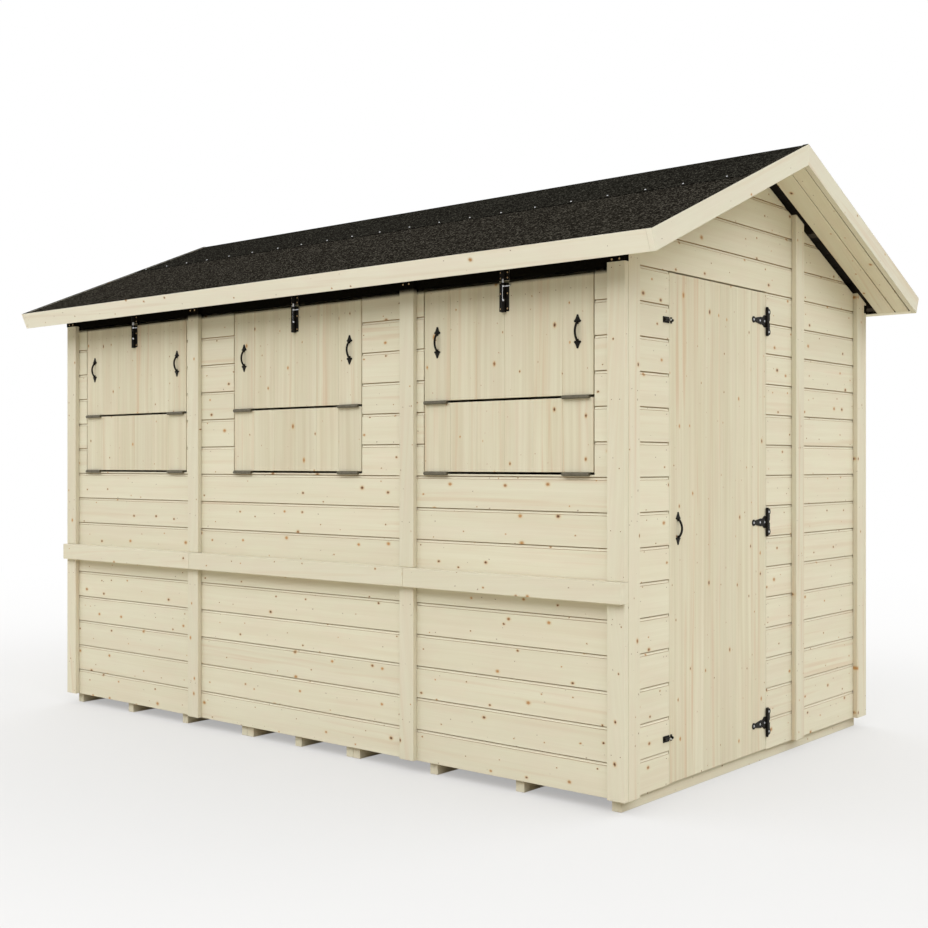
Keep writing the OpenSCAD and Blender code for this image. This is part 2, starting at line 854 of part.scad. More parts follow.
hinge_plates();
door_pull();
door_bolts();
door_keepers();
roof_deck();  // roof_deck_front
mirror([0, 1, 0]) roof_deck();  // roof_deck_back
roof_purlins();
soffit_boards();
side_felts();
ridge_felt();
fascia_boards();
barge_boards();
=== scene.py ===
"""Finishes, boards and fixings of a timber bar shed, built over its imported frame.

All sizes are in metres. +X runs along the front wall towards the door gable, +Y from the front wall to
the back wall, and +Z is up.
"""
from __future__ import annotations

import json
import logging
import math
import random
from collections.abc import Callable, Sequence
from dataclasses import dataclass, field
from enum import Enum

import bmesh
import bpy
from mathutils import Matrix, Vector


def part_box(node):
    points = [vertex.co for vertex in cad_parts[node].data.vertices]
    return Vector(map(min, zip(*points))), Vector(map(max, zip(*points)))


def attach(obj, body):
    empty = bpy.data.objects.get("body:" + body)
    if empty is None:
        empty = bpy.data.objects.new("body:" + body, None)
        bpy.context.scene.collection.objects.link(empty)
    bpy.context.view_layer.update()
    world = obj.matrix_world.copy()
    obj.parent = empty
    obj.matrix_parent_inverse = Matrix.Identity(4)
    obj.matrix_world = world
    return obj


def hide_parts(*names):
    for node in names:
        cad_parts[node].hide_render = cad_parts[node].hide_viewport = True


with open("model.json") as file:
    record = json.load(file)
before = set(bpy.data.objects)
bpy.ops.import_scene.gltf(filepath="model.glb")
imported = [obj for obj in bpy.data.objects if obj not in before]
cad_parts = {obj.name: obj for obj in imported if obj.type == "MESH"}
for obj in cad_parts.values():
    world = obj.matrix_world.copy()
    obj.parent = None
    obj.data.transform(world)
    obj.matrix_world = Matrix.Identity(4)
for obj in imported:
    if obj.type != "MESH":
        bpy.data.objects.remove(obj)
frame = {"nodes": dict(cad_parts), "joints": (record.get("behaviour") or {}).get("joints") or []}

LOG = logging.getLogger("bar_shed")

Socket = bpy.types.NodeSocket
Feed = "float | Sequence[float] | Socket"
Colour = tuple[float, float, float, float]

BODY = "shed"
DOOR_BODY = "door"
X_AXIS = Vector((1, 0, 0))
Y_AXIS = Vector((0, 1, 0))
Z_AXIS = Vector((0, 0, 1))
WELD = 1e-6
THIRDS = ("left", "middle", "right")


# ---------------------------------------------------------------- sizes


@dataclass(frozen=True)
class Shed:
    """Sizes that the whole shed shares, worked out from the frame."""

    cover: float = 0.112
    board_t: float = 0.012
    pitch: float = math.radians(23)
    edge_h: float = 0.070

    @property
    def foot_z(self) -> float:
        """Height of the foot of the wall boards."""
        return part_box("front_wall_middle")[0].z

    @property
    def face_x(self) -> float:
        """Distance of the gable cladding's face from the middle."""
        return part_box("right_wall_latch_side")[1].x

    @property
    def face_y(self) -> float:
        """Distance of the front cladding's face from the middle."""
        return -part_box("front_wall_middle")[0].y

    @property
    def ridge_z(self) -> float:
        """Height of the ridge."""
        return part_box("ridge_felt")[1].z

    def roof_planes(self, depth: float) -> list[tuple[Vector, Vector]]:
        """Point and upward normal of each slope's plane.

        Args:
            depth: how far the planes lie below the top of the edge boards, square to the slope.
        Returns:
            The front plane and the back plane.
        """
        top = Vector((0, 0, self.ridge_z - depth / math.cos(self.pitch)))
        return [(top, Vector((0, side * math.sin(self.pitch), math.cos(self.pitch)))) for side in (-1, 1)]

    def slope_point(self, x: float, down: float, side: int, depth: float = 0.0) -> Vector:
        """A point on a slope.

        Args:
            x: place along the ridge.
            down: distance from the ridge, measured down the slope.
            side: -1 for the front slope and 1 for the back one.
            depth: distance below the slope's plane.
        Returns:
            The point.
        """
        run, rise = math.cos(self.pitch), math.sin(self.pitch)
        return Vector((x, side * (down * run - depth * rise), self.ridge_z - down * rise - depth * run))


SHED = Shed()


# ---------------------------------------------------------------- shader graph


@dataclass
class Graph:
    """Adds nodes to one node tree and wires them."""

    tree: bpy.types.NodeTree

    def add(self, kind: str, feeds: dict[str | int, Feed] | None = None,
            **settings: object) -> bpy.types.Node:
        """Adds a node.

        Args:
            kind: the node's type name.
            feeds: a value or a socket for each input to set.
            settings: the node's own properties.
        Returns:
            The node.
        """
        node = self.tree.nodes.new(kind)
        for name, value in settings.items():
            setattr(node, name, value)
        for key, value in (feeds or {}).items():
            self.feed(node.inputs[key], value)
        return node

    def feed(self, socket: Socket, value: Feed) -> None:
        """Links a socket to an input, or writes a plain value on it.

        Args:
            socket: the input.
            value: the other socket, or the value.
        """
        if isinstance(value, bpy.types.NodeSocket):
            self.tree.links.new(value, socket)
        else:
            socket.default_value = value

    def math(self, operation: str, a: Feed, b: Feed = 0.0, clamp: bool = False) -> Socket:
        """One arithmetic step on two values."""
        return self.add("ShaderNodeMath", {0: a, 1: b}, operation=operation, use_clamp=clamp).outputs[0]

    def times(self, a: Feed, b: Feed) -> Socket:
        """The product of two values."""
        return self.math("MULTIPLY", a, b)

    def plus(self, a: Feed, b: Feed) -> Socket:
        """The sum of two values."""
        return self.math("ADD", a, b)

    def minus(self, a: Feed, b: Feed) -> Socket:
        """The first value less the second."""
        return self.math("SUBTRACT", a, b)

    def scaled(self, vector: Feed, by: Sequence[float]) -> Socket:
        """A vector with each part multiplied."""
        return self.add("ShaderNodeVectorMath", {0: vector, 1: tuple(by)}, operation="MULTIPLY").outputs[0]

    def moved(self, vector: Feed, by: Feed) -> Socket:
        """A vector with another added."""
        return self.add("ShaderNodeVectorMath", {0: vector, 1: by}, operation="ADD").outputs[0]

    def joined(self, x: Feed = 0.0, y: Feed = 0.0, z: Feed = 0.0) -> Socket:
        """A vector made of three values."""
        return self.add("ShaderNodeCombineXYZ", {0: x, 1: y, 2: z}).outputs[0]

    def parts(self, vector: Feed) -> tuple[Socket, Socket, Socket]:
        """The three parts of a vector."""
        node = self.add("ShaderNodeSeparateXYZ", {0: vector})
        return node.outputs[0], node.outputs[1], node.outputs[2]

    def noise(self, vector: Feed, scale: Feed, detail: float = 2.0, roughness: float = 0.5) -> Socket:
        """Smooth noise from 0 to 1."""
        feeds = {"Vector": vector, "Scale": scale, "Detail": detail, "Roughness": roughness}
        return self.add("ShaderNodeTexNoise", feeds).outputs[0]

    def ramp(self, value: Feed, low: Feed, high: Feed, start: Feed = 0.0, end: Feed = 1.0) -> Socket:
        """Smooth step of a value between two limits.

        Args:
            value: the value.
            low: where the step starts.
            high: where the step ends.
            start: what comes out at low.
            end: what comes out at high.
        Returns:
            The stepped value.
        """
        feeds = {0: value, 1: low, 2: high, 3: start, 4: end}
        return self.add("ShaderNodeMapRange", feeds, interpolation_type="SMOOTHSTEP").outputs[0]

    def mix(self, share: Feed, first: Feed, second: Feed, blend: str = "MIX") -> Socket:
        """Mixes two colours."""
        node = self.add("ShaderNodeMix", {0: share, 6: first, 7: second}, data_type="RGBA", blend_type=blend)
        return node.outputs[2]

    def dimmed(self, colour: Feed, by: Feed) -> Socket:
        """A colour multiplied by another, or by one value for all its parts."""
        return self.mix(1.0, colour, by, "MULTIPLY")

    def coated(self, colour: Feed, coats: Sequence[tuple[Feed, float, Feed]]) -> Feed:
        """Lays coats over a colour.

        Args:
            colour: what lies underneath.
            coats: the mask, the share and the colour of each coat, in order.
        Returns:
            The colour on top.
        """
        for mask, share, coat in coats:
            colour = self.mix(self.times(mask, share), colour, coat)
        return colour

    def seen_directly(self) -> Socket:
        """1 where the ray comes from the camera, a mirror or glass, and 0 where it carries light."""
        path = self.add("ShaderNodeLightPath").outputs
        return self.math("MAXIMUM", path["Is Camera Ray"],
                         self.math("MAXIMUM", path["Is Glossy Ray"], path["Is Transmission Ray"]))

    def attribute(self, name: str) -> bpy.types.Node:
        """Reads a mesh attribute."""
        return self.add("ShaderNodeAttribute", attribute_name=name)


class Effect(Enum):
    """The shader node groups that the finishes share."""

    KNOTS = "spruce knots"
    GRAIN = "timber grain"
    BOARD_TONE = "board to board tone"
    ARRIS = "painted arris highlight"
    GRIT = "mineral grit"
    HANDLING = "handling wear"


def new_group(effect: Effect, inputs: dict[str, float | Sequence[float]], outputs: Sequence[str]) -> tuple[
        bpy.types.NodeTree, Graph, bpy.types.NodeOutputs, bpy.types.NodeInputs]:
    """Starts a shader node group.

    Args:
        effect: which shared effect it is.
        inputs: name and default of each input; a default of three numbers makes a vector.
        outputs: names of the outputs, all plain values.
    Returns:
        The group's tree, its graph, the sockets of its input node and the sockets of its output node.
    """
    tree = bpy.data.node_groups.new(effect.value, "ShaderNodeTree")
    for name, default in inputs.items():
        is_number = isinstance(default, (int, float))
        kind = "NodeSocketFloat" if is_number else "NodeSocketVector"
        socket = tree.interface.new_socket(name, in_out="INPUT", socket_type=kind)
        socket.default_value = default
    for name in outputs:
        tree.interface.new_socket(name, in_out="OUTPUT", socket_type="NodeSocketFloat")
    graph = Graph(tree)
    return tree, graph, graph.add("NodeGroupInput").outputs, graph.add("NodeGroupOutput").inputs


def knots_group() -> bpy.types.NodeTree:
    """Knots scattered over a board.

    Returns:
        A group that puts out masks of each knot's core, rim and halo, and how far the grain bends round it.
    """
    tree, g, given, out = new_group(
        Effect.KNOTS, {"Coordinates": (0, 0, 0), "Cells": 8.5, "Largest": 0.006, "Share": 0.8},
        ["Core", "Rim", "Halo", "Bend", "Depth of Colour"])
    ragged, stretch, smallest, rarity = 0.0046, 0.72, 0.28, 1.8
    along, across, _ = g.parts(given["Coordinates"])
    wobble = g.times(g.minus(g.noise(given["Coordinates"], 330, 2), 0.5), ragged)
    flat = g.joined(g.times(along, stretch), across)
    cells = g.add("ShaderNodeTexVoronoi", {"Vector": flat, "Scale": given["Cells"]},
                  voronoi_dimensions="2D", feature="F1")
    distance = g.plus(g.math("DIVIDE", cells.outputs["Distance"], given["Cells"]), wobble)
    chance, size, tone = g.parts(cells.outputs["Color"])
    kept = g.math("LESS_THAN", chance, given["Share"])
    size = g.plus(g.times(g.math("POWER", size, rarity), 1 - smallest), smallest)
    radius = g.times(given["Largest"], size)
    core = g.ramp(distance, g.times(radius, 0.55), radius, 1.0, 0.0)
    outer, halo, bend = (
        g.ramp(distance, radius, g.times(radius, reach), 1.0, 0.0) for reach in (1.45, 2.5, 6.0))
    for name, mask in (("Core", core), ("Rim", g.minus(outer, core)), ("Halo", halo), ("Bend", bend)):
        g.feed(out[name], g.times(mask, kept))
    g.feed(out["Depth of Colour"], tone)
    return tree


def grain_group() -> bpy.types.NodeTree:
    """Long-grain figure of a sawn board.

    Returns:
        A group that puts out fine pores, broad figure, a blush mask and the height of the planed surface.
    """
    tree, g, given, out = new_group(
        Effect.GRAIN, {"Coordinates": (0, 0, 0), "Bend": 0.0}, ["Pores", "Figure", "Blush", "Height"])
    along, across, deep = g.parts(given["Coordinates"])
    drift = g.times(g.noise(g.joined(g.times(along, 1.6), across), 1.0, 1), 0.020)
    across = g.plus(across, drift)
    across = g.plus(across, g.times(given["Bend"], 0.0035))
    bent = g.joined(along, across, deep)
    pores = g.noise(g.scaled(bent, (7, 620, 620)), 1.0, 2)
    rings = g.noise(g.scaled(bent, (0.9, 66, 66)), 1.0, 4, 0.62)
    bands = g.noise(g.scaled(bent, (0.8, 15, 15)), 1.0, 2)
    blush = g.noise(g.moved(g.scaled(bent, (1.1, 40, 40)), (31, 0, 0)), 1.0, 2)
    g.feed(out["Pores"], g.ramp(pores, 0.30, 0.70))
    g.feed(out["Figure"], g.plus(g.times(g.ramp(rings, 0.33, 0.67), 0.55),
                                 g.times(g.ramp(bands, 0.3, 0.7), 0.45)))
    g.feed(out["Blush"], g.ramp(blush, 0.54, 0.70))
    g.feed(out["Height"], g.plus(g.times(pores, 0.6), g.times(rings, 0.4)))
    return tree


def board_tone_group() -> bpy.types.NodeTree:
    """How one board differs from the next.

    Returns:
        A group that puts out a brightness about 1, a warmth from 0 to 1 for each board's own number, and a
        mask of rosier patches.
    """
    tree, g, given, out = new_group(
        Effect.BOARD_TONE, {"Number": 0.0, "Spread": 0.06, "Coordinates": (0, 0, 0)},
        ["Brightness", "Warmth", "Cast"])
    white = g.add("ShaderNodeTexWhiteNoise", {"W": given["Number"]}, noise_dimensions="1D")
    along, across, _ = g.parts(given["Coordinates"])
    cast = g.noise(g.joined(g.times(along, 4.5), g.times(across, 16)), 1.0, 2)
    patch = g.noise(g.joined(g.times(along, 1.3), given["Number"]), 1.0, 2)
    level = g.plus(g.times(white.outputs["Value"], 0.6), g.times(patch, 0.8))
    level = g.times(g.minus(level, 0.7), given["Spread"])
    g.feed(out["Brightness"], g.plus(level, 1.0))
    g.feed(out["Warmth"], g.parts(white.outputs["Color"])[1])
    g.feed(out["Cast"], g.ramp(cast, 0.42, 0.62))
    return tree


def arris_group() -> bpy.types.NodeTree:
    """Painted highlight: planed edges drawn a little lighter than the faces, as if they caught more light.

    Returns:
        A group that puts out a broken mask along the edges, for the painted highlight.
    """
    tree, g, given, out = new_group(Effect.ARRIS, {"Coordinates": (0, 0, 0), "Amount": 1.0}, ["Mask"])
    edge = g.attribute("arris").outputs["Fac"]
    broken = g.ramp(g.noise(given["Coordinates"], 24, 3), 0.30, 0.55, 0.55, 1.0)
    g.feed(out["Mask"], g.math("MULTIPLY", g.times(edge, broken), given["Amount"], clamp=True))
    return tree


def grit_group() -> bpy.types.NodeTree:
    """Crushed mineral on bitumen.

    Returns:
        A group that puts out bright grains, worn clumps and the height of the grit.
    """
    tree, g, given, out = new_group(
        Effect.GRIT, {"Coordinates": (0, 0, 0), "Grains": 185.0, "Clumps": 120.0},
        ["Grain", "Clump", "Height"])
    cells = g.add("ShaderNodeTexVoronoi", {"Vector": given["Coordinates"], "Scale": given["Grains"]})
    chance = g.parts(cells.outputs["Color"])[0]
    clump = g.noise(given["Coordinates"], given["Clumps"], 5.0, 0.75)
    g.feed(out["Grain"], g.times(g.ramp(chance, 0.55, 1.0),
                                g.ramp(cells.outputs["Distance"], 0.2, 0.6, 1.0, 0.35)))
    g.feed(out["Clump"], g.ramp(clump, 0.32, 0.68))
    g.feed(out["Height"], g.minus(1.0, cells.outputs["Distance"]))
    return tree


def handling_group() -> bpy.types.NodeTree:
    """Rubbed and dusty patches on metal.

    Returns:
        A group that puts out a soft patch mask and a fine speck mask.
    """
    tree, g, given, out = new_group(Effect.HANDLING, {"Coordinates": (0, 0, 0)}, ["Patch", "Speck"])
    g.feed(out["Patch"], g.ramp(g.noise(given["Coordinates"], 70, 3, 0.6), 0.42, 0.66))
    g.feed(out["Speck"], g.ramp(g.noise(given["Coordinates"], 900, 2), 0.55, 0.75))
    return tree


GROUPS: dict[Effect, bpy.types.NodeTree] = {}


def shared_group(effect: Effect) -> bpy.types.NodeTree:
    """The node group of an effect, built the first time it is asked for.

    Args:
        effect: which effect.
    Returns:
        Its shader tree.
    """
    makers: dict[Effect, Callable[[], bpy.types.NodeTree]] = {
        Effect.KNOTS: knots_group,
        Effect.GRAIN: grain_group,
        Effect.BOARD_TONE: board_tone_group,
        Effect.ARRIS: arris_group,
        Effect.GRIT: grit_group,
        Effect.HANDLING: handling_group,
    }
    if effect not in GROUPS:
        GROUPS[effect] = makers[effect]()
    return GROUPS[effect]


def place_effect(graph: Graph, effect: Effect, feeds: dict[str, Feed]) -> bpy.types.NodeOutputs:
    """Places a shared group in a material.

    Args:
        graph: the material's graph.
        effect: which group.
        feeds: what goes into its inputs.
    Returns:
        The outputs of the placed group.
    """
    node = graph.add("ShaderNodeGroup", node_tree=shared_group(effect))
    for name, value in feeds.items():
        graph.feed(node.inputs[name], value)
    return node.outputs


def new_material(name: str, **constants: float) -> tuple[bpy.types.Material, Graph, bpy.types.Node]:
    """Starts a material with one Principled BSDF.

    Args:
        name: the material's name.
        constants: values for the shader's own sockets, with underscores for spaces.
    Returns:
        The material, its graph and its shader node.
    """
    material = bpy.data.materials.new(name)
    material.use_nodes = True
    graph = Graph(material.node_tree)
    shader = material.node_tree.nodes["Principled BSDF"]
    for key, value in constants.items():
        shader.inputs[key.replace("_", " ")].default_value = value
    return material, graph, shader


# ---------------------------------------------------------------- finishes


@dataclass(frozen=True)
class TimberFinish:
    """Planed or sawn spruce."""

    name: str
    light: Colour
    streak: Colour
    blush: Colour = (0.60, 0.42, 0.26, 1)
    knot: Colour = (0.47, 0.235, 0.075, 1)
    heart: Colour = (0.085, 0.030, 0.012, 1)
    halo: Colour = (0.62, 0.44, 0.21, 1)
    figure: float = 0.55
    pores: float = 0.20
    blush_share: float = 0.35
    cast: Colour = (1.0, 0.972, 0.980, 1)
    cast_share: float = 0.8
    pin: Colour = (0.24, 0.140, 0.075, 1)
    pins: float = 0.5
    pin_cells: float = 15.0
    pin_size: float = 0.0028
    pin_shift: tuple[float, float, float] = (7.3, 3.1, 0.0)
    pin_share: float = 0.75
    spread: float = 0.07
    knots: float = 0.95
    knot_cells: float = 10.5
    knot_size: float = 0.0058
    halo_share: float = 0.35
    rim_share: float = 0.55
    # painted shade in the shiplap grooves: a brown coat on the sides of the nick and of the slot, which
    # darkens and warms their shadow
    groove_shade: Colour = (0.46, 0.285, 0.115, 1)
    groove_shade_share: float = 0.9
    # the light coat on the rounded edges is a painted highlight
    edge: float = 0.5
    edge_highlight_share: float = 0.5
    roughness: float = 0.62
    relief: float = 0.25

    def build(self) -> bpy.types.Material:
        """Builds the material, which reads each board's own grain coordinates.

        Returns:
            The material.
        """
        material, g, shader = new_material(self.name, Specular_IOR_Level=0.30)
        place = g.attribute("grain").outputs["Vector"]
        knots = place_effect(g, Effect.KNOTS, {
            "Coordinates": place, "Cells": self.knot_cells, "Largest": self.knot_size, "Share": self.knots})
        pins = place_effect(g, Effect.KNOTS, {
            "Coordinates": g.moved(place, self.pin_shift), "Cells": self.pin_cells, "Largest": self.pin_size,
            "Share": self.pins})
        grain = place_effect(g, Effect.GRAIN, {"Coordinates": place, "Bend": knots["Bend"]})
        tone = place_effect(g, Effect.BOARD_TONE, {
            "Number": g.attribute("board").outputs["Fac"], "Spread": self.spread, "Coordinates": place})
        arris = place_effect(g, Effect.ARRIS, {"Coordinates": place, "Amount": self.edge})
        knot = g.mix(g.ramp(knots["Depth of Colour"], 0.15, 0.72, 0.0, 0.92), self.knot, self.heart)
        colour = g.coated(self.light, (
            (grain["Figure"], self.figure, self.streak),
            (grain["Pores"], self.pores, self.streak),
            (g.times(grain["Blush"], tone["Warmth"]), self.blush_share, self.blush)))
        colour = g.dimmed(colour, tone["Brightness"])
        colour = g.coated(colour, (
            (tone["Cast"], self.cast_share, g.dimmed(colour, self.cast)),
            # painted highlight on the rounded edges
            (arris["Mask"], self.edge_highlight_share, self.light),
            (pins["Core"], self.pin_share, self.pin),
            (knots["Halo"], self.halo_share, self.halo),
            (knots["Core"], 1.0, knot),
            (knots["Rim"], self.rim_share, self.knot),
            # painted shade in the shiplap grooves
            (g.attribute("groove_shade").outputs["Fac"], self.groove_shade_share, self.groove_shade)))
        g.feed(shader.inputs["Base Color"], colour)
        rough = g.plus(g.times(grain["Pores"], 0.10), self.roughness - 0.05)
        g.feed(shader.inputs["Roughness"], g.minus(rough, g.times(knots["Core"], 0.2)))
        height = g.plus(grain["Height"], g.times(knots["Core"], 0.8))
        bump = g.add("ShaderNodeBump", {"Height": height, "Strength": self.relief, "Distance": 0.0004})
        g.feed(shader.inputs["Normal"], bump.outputs[0])
        return material


@dataclass(frozen=True)
class FeltFinish:
    """Mineral roofing felt."""

    name: str
    bitumen: Colour
    mineral: Colour
    bright: Colour
    grains: float = 0.8
    roughness: float = 0.9
    # for a strip of painted shade: the heights over which its alpha fades in from its foot, as a soft shadow
    # edge
    shade_fade: tuple[float, float] | None = None

    def build(self) -> bpy.types.Material:
        """Builds the material in the shed's own coordinates.

        Returns:
            The material.
        """
        material, g, shader = new_material(self.name, Specular_IOR_Level=0.0)
        place = g.add("ShaderNodeTexCoord").outputs["Object"]
        grit = place_effect(g, Effect.GRIT, {"Coordinates": place})
        colour = g.coated(self.bitumen, (
            (grit["Clump"], 1.0, self.mineral), (grit["Grain"], self.grains, self.bright)))
        g.feed(shader.inputs["Base Color"], colour)
        rough = g.minus(self.roughness, g.times(grit["Grain"], 0.25))
        g.feed(shader.inputs["Roughness"], rough)
        bump = g.add("ShaderNodeBump", {"Height": grit["Height"], "Strength": 0.5, "Distance": 0.001})
        g.feed(shader.inputs["Normal"], bump.outputs[0])
        # painted shade: the alpha fades the strip in from its foot, as a soft shadow edge
        if self.shade_fade is not None:
            g.feed(shader.inputs["Alpha"], g.ramp(g.parts(place)[2], *self.shade_fade))
        return material


@dataclass(frozen=True)
class MetalFinish:
    """Painted or plated metal."""

    name: str
    base: Colour
    worn: Colour
    metallic: float
    roughness: float
    shine: float = 0.5
    relief: float = 0.2

    def build(self) -> bpy.types.Material:
        """Builds the material in the shed's own coordinates.

        Returns:
            The material.
        """
        material, g, shader = new_material(self.name, Metallic=self.metallic, Specular_IOR_Level=self.shine)
        place = g.add("ShaderNodeTexCoord").outputs["Object"]
        wear = place_effect(g, Effect.HANDLING, {"Coordinates": place})
        colour = g.coated(self.base, ((wear["Patch"], 0.5, self.worn), (wear["Speck"], 0.25, self.worn)))
        g.feed(shader.inputs["Base Color"], colour)
        rough = g.plus(g.times(wear["Patch"], 0.12), self.roughness - 0.06)
        g.feed(shader.inputs["Roughness"], rough)
        bump = g.add("ShaderNodeBump", {"Height": wear["Speck"], "Strength": self.relief, "Distance": 0.0003})
        g.feed(shader.inputs["Normal"], bump.outputs[0])
        return material


class Finish(Enum):
    """Every finish on the shed, by the record's slot or by its own name."""

    WALL = "wall_boards"
    LEAF = "leaf_boards"
    TRIM = "planed_trim"
    SHADED_TOP = "shaded_top_spruce"
    EDGE = "planed_edge"
    LIT_EAVES = "planed_eaves"
    FRAMING = "framing"
    ROOF_FRAMING = "shaded_roof_framing"
    FLOOR = "floor_boards"
    DECK = "roof_deck"
    FELT = "mineral_felt"
    RIDGE_FELT = "ridge_felt"
    SHADE_FELT = "painted_eaves_shade"
    IRON = "black_iron"
    STEEL = "bright_steel"
    BUTT = "zinc_hinge"
    NAIL = "brown_nail"
    SCREW = "yellow_zinc"


SPRUCE = (0.738, 0.700, 0.543, 1)
SPRUCE_STREAK = (0.655, 0.592, 0.432, 1)
FINISHES: dict[Finish, TimberFinish | FeltFinish | MetalFinish] = {
    Finish.WALL: TimberFinish("wall_spruce", SPRUCE, SPRUCE_STREAK),
    Finish.LEAF: TimberFinish("leaf_spruce", (0.712, 0.672, 0.517, 1), (0.585, 0.515, 0.355, 1),
                              figure=0.74, blush_share=0.6, knots=0.55, pins=0.6, pin=(0.42, 0.22, 0.10, 1)),
    Finish.TRIM: TimberFinish("trim_spruce", (0.707, 0.666, 0.520, 1), (0.625, 0.565, 0.410, 1),
                              figure=0.4, knots=0.85, knot_size=0.0047),
    Finish.EDGE: TimberFinish("edge_spruce", (0.700, 0.672, 0.540, 1), (0.640, 0.590, 0.450, 1),
                              figure=0.35, knots=0.45, knot_size=0.006),
    # painted light: a much lighter copy of the edge spruce for the faces of the eaves boards that look to the
    # front and back
    Finish.LIT_EAVES: TimberFinish("lit_eaves_spruce", (0.890, 0.860, 0.735, 1), (0.830, 0.780, 0.630, 1),
                               figure=0.35, knots=0.45, knot_size=0.006),
    # painted shade: a darker copy of the trim spruce for the faces of the rail that look up
    Finish.SHADED_TOP: TimberFinish("shaded_top_spruce", (0.600, 0.560, 0.430, 1), (0.530, 0.475, 0.340, 1),
                               figure=0.4, knots=0.5, knot_size=0.0052),
    Finish.FRAMING: TimberFinish("framing_spruce", (0.700, 0.625, 0.460, 1), (0.570, 0.475, 0.315, 1),
                                 knots=0.5, roughness=0.75, relief=0.5),
    # painted shade: the purlins are near black, so that the space under the roof reads as deep shadow
    Finish.ROOF_FRAMING: TimberFinish("shaded_roof_framing", (0.075, 0.060, 0.044, 1), (0.040, 0.031, 0.022, 1),
                                      blush=(0.06, 0.04, 0.02, 1), knot=(0.02, 0.012, 0.006, 1),
                                      halo=(0.05, 0.04, 0.03, 1), roughness=0.8, relief=0.5),
    Finish.FLOOR: TimberFinish("floor_spruce", (0.660, 0.560, 0.380, 1), (0.520, 0.400, 0.240, 1)),
    # painted shade: the roof boards are near black, so that the gaps under the eaves read as deep shadow
    Finish.DECK: TimberFinish("shaded_deck_board", (0.060, 0.050, 0.040, 1), (0.030, 0.025, 0.020, 1),
                              blush=(0.05, 0.035, 0.02, 1), knot=(0.02, 0.012, 0.006, 1),
                              halo=(0.05, 0.04, 0.03, 1), roughness=0.8),
    Finish.FELT: FeltFinish("mineral_felt", (0.0040, 0.0035, 0.0025, 1), (0.0145, 0.0125, 0.0090, 1),
                            (0.135, 0.122, 0.095, 1)),
    # painted shade: near-black felt for the strips under the eaves
    Finish.SHADE_FELT: FeltFinish("painted_eaves_shade", (0.0030, 0.0026, 0.0020, 1), (0.0080, 0.0070, 0.0050, 1),
                                (0.012, 0.011, 0.008, 1), 0.3, shade_fade=(1.686, 1.714)),
    Finish.RIDGE_FELT: FeltFinish("ridge_felt", (0.0035, 0.0032, 0.0024, 1), (0.0098, 0.0090, 0.0066, 1),
                                  (0.112, 0.105, 0.083, 1), 0.65),
    Finish.IRON: MetalFinish("black_iron", (0.0060, 0.0050, 0.0035, 1), (0.020, 0.017, 0.012, 1), 0.0,
                             0.50, 0.12),
    Finish.STEEL: MetalFinish("bright_steel", (0.66, 0.67, 0.68, 1), (0.48, 0.48, 0.47, 1), 1.0, 0.30),
    Finish.BUTT: MetalFinish("zinc_hinge", (0.125, 0.110, 0.072, 1), (0.070, 0.061, 0.040, 1), 0.2, 0.55),
    Finish.SCREW: MetalFinish("yellow_zinc", (0.62, 0.44, 0.24, 1), (0.42, 0.28, 0.14, 1), 0.5, 0.45),
    Finish.NAIL: MetalFinish("brown_nail", (0.26, 0.135, 0.062, 1), (0.12, 0.06, 0.03, 1), 0.3, 0.6),
}
MATERIALS: dict[Finish, bpy.types.Material] = {}


def material_of(finish: Finish) -> bpy.types.Material:
    """The material of a finish, built the first time it is asked for."""
    if finish not in MATERIALS:
        MATERIALS[finish] = FINISHES[finish].build()
    return MATERIALS[finish]


# ---------------------------------------------------------------- mesh helpers


@dataclass
class Timber:
    """One board or batten: its mesh, and the way its grain runs."""

    mesh: bmesh.types.BMesh
    along: Vector
    across: Vector
    start: Vector = field(default_factory=Vector)


def mesh_data(mesh: bmesh.types.BMesh, name: str) -> bpy.types.Mesh:
    """Turns a working mesh into mesh data, and frees it.

    Args:
        mesh: the working mesh.
        name: the data's name.
    Returns:
        The data.
    """
    data = bpy.data.meshes.new(name)
    mesh.to_mesh(data)
    mesh.free()
    return data


def place_object(name: str, data: bpy.types.ID) -> bpy.types.Object:
    """Makes an object of its data and links it to the scene."""
    item = bpy.data.objects.new(name, data)
    bpy.context.scene.collection.objects.link(item)
    return item


def sideways(outward: Vector) -> Vector:
    """The level axis along a wall that faces outwards."""
    return X_AXIS if abs(outward.y) > abs(outward.x) else Y_AXIS


def face_of(low: Vector, high: Vector, outward: Vector) -> float:
    """How far out the outer face of a box lies."""
    return max(low.dot(outward), high.dot(outward))


def jitter(rng: random.Random, reach: float) -> float:
    """A small shift either way."""
    return rng.uniform(-reach, reach)


def clean_normals(mesh: bmesh.types.BMesh) -> None:
    """Points every face of a closed mesh outwards."""
    bmesh.ops.recalc_face_normals(mesh, faces=mesh.faces[:])


def prism(outline: Sequence[tuple[float, float]], length: float, place: Matrix) -> bmesh.types.BMesh:
    """A closed prism.

    Args:
        outline: points of its section, as (second axis, third axis).
        length: how far it runs along its first axis.
        place: where its own axes lie.
    Returns:
        The mesh.
    """
    mesh = bmesh.new()
    ends = [[mesh.verts.new(place @ Vector((x, u, v))) for u, v in outline] for x in (0.0, length)]
    count = len(outline)
    for i in range(count):
        j = (i + 1) % count
        mesh.faces.new((ends[0][i], ends[0][j], ends[1][j], ends[1][i]))
    for end in ends:
        mesh.faces.new(end)
    clean_normals(mesh)
    return mesh


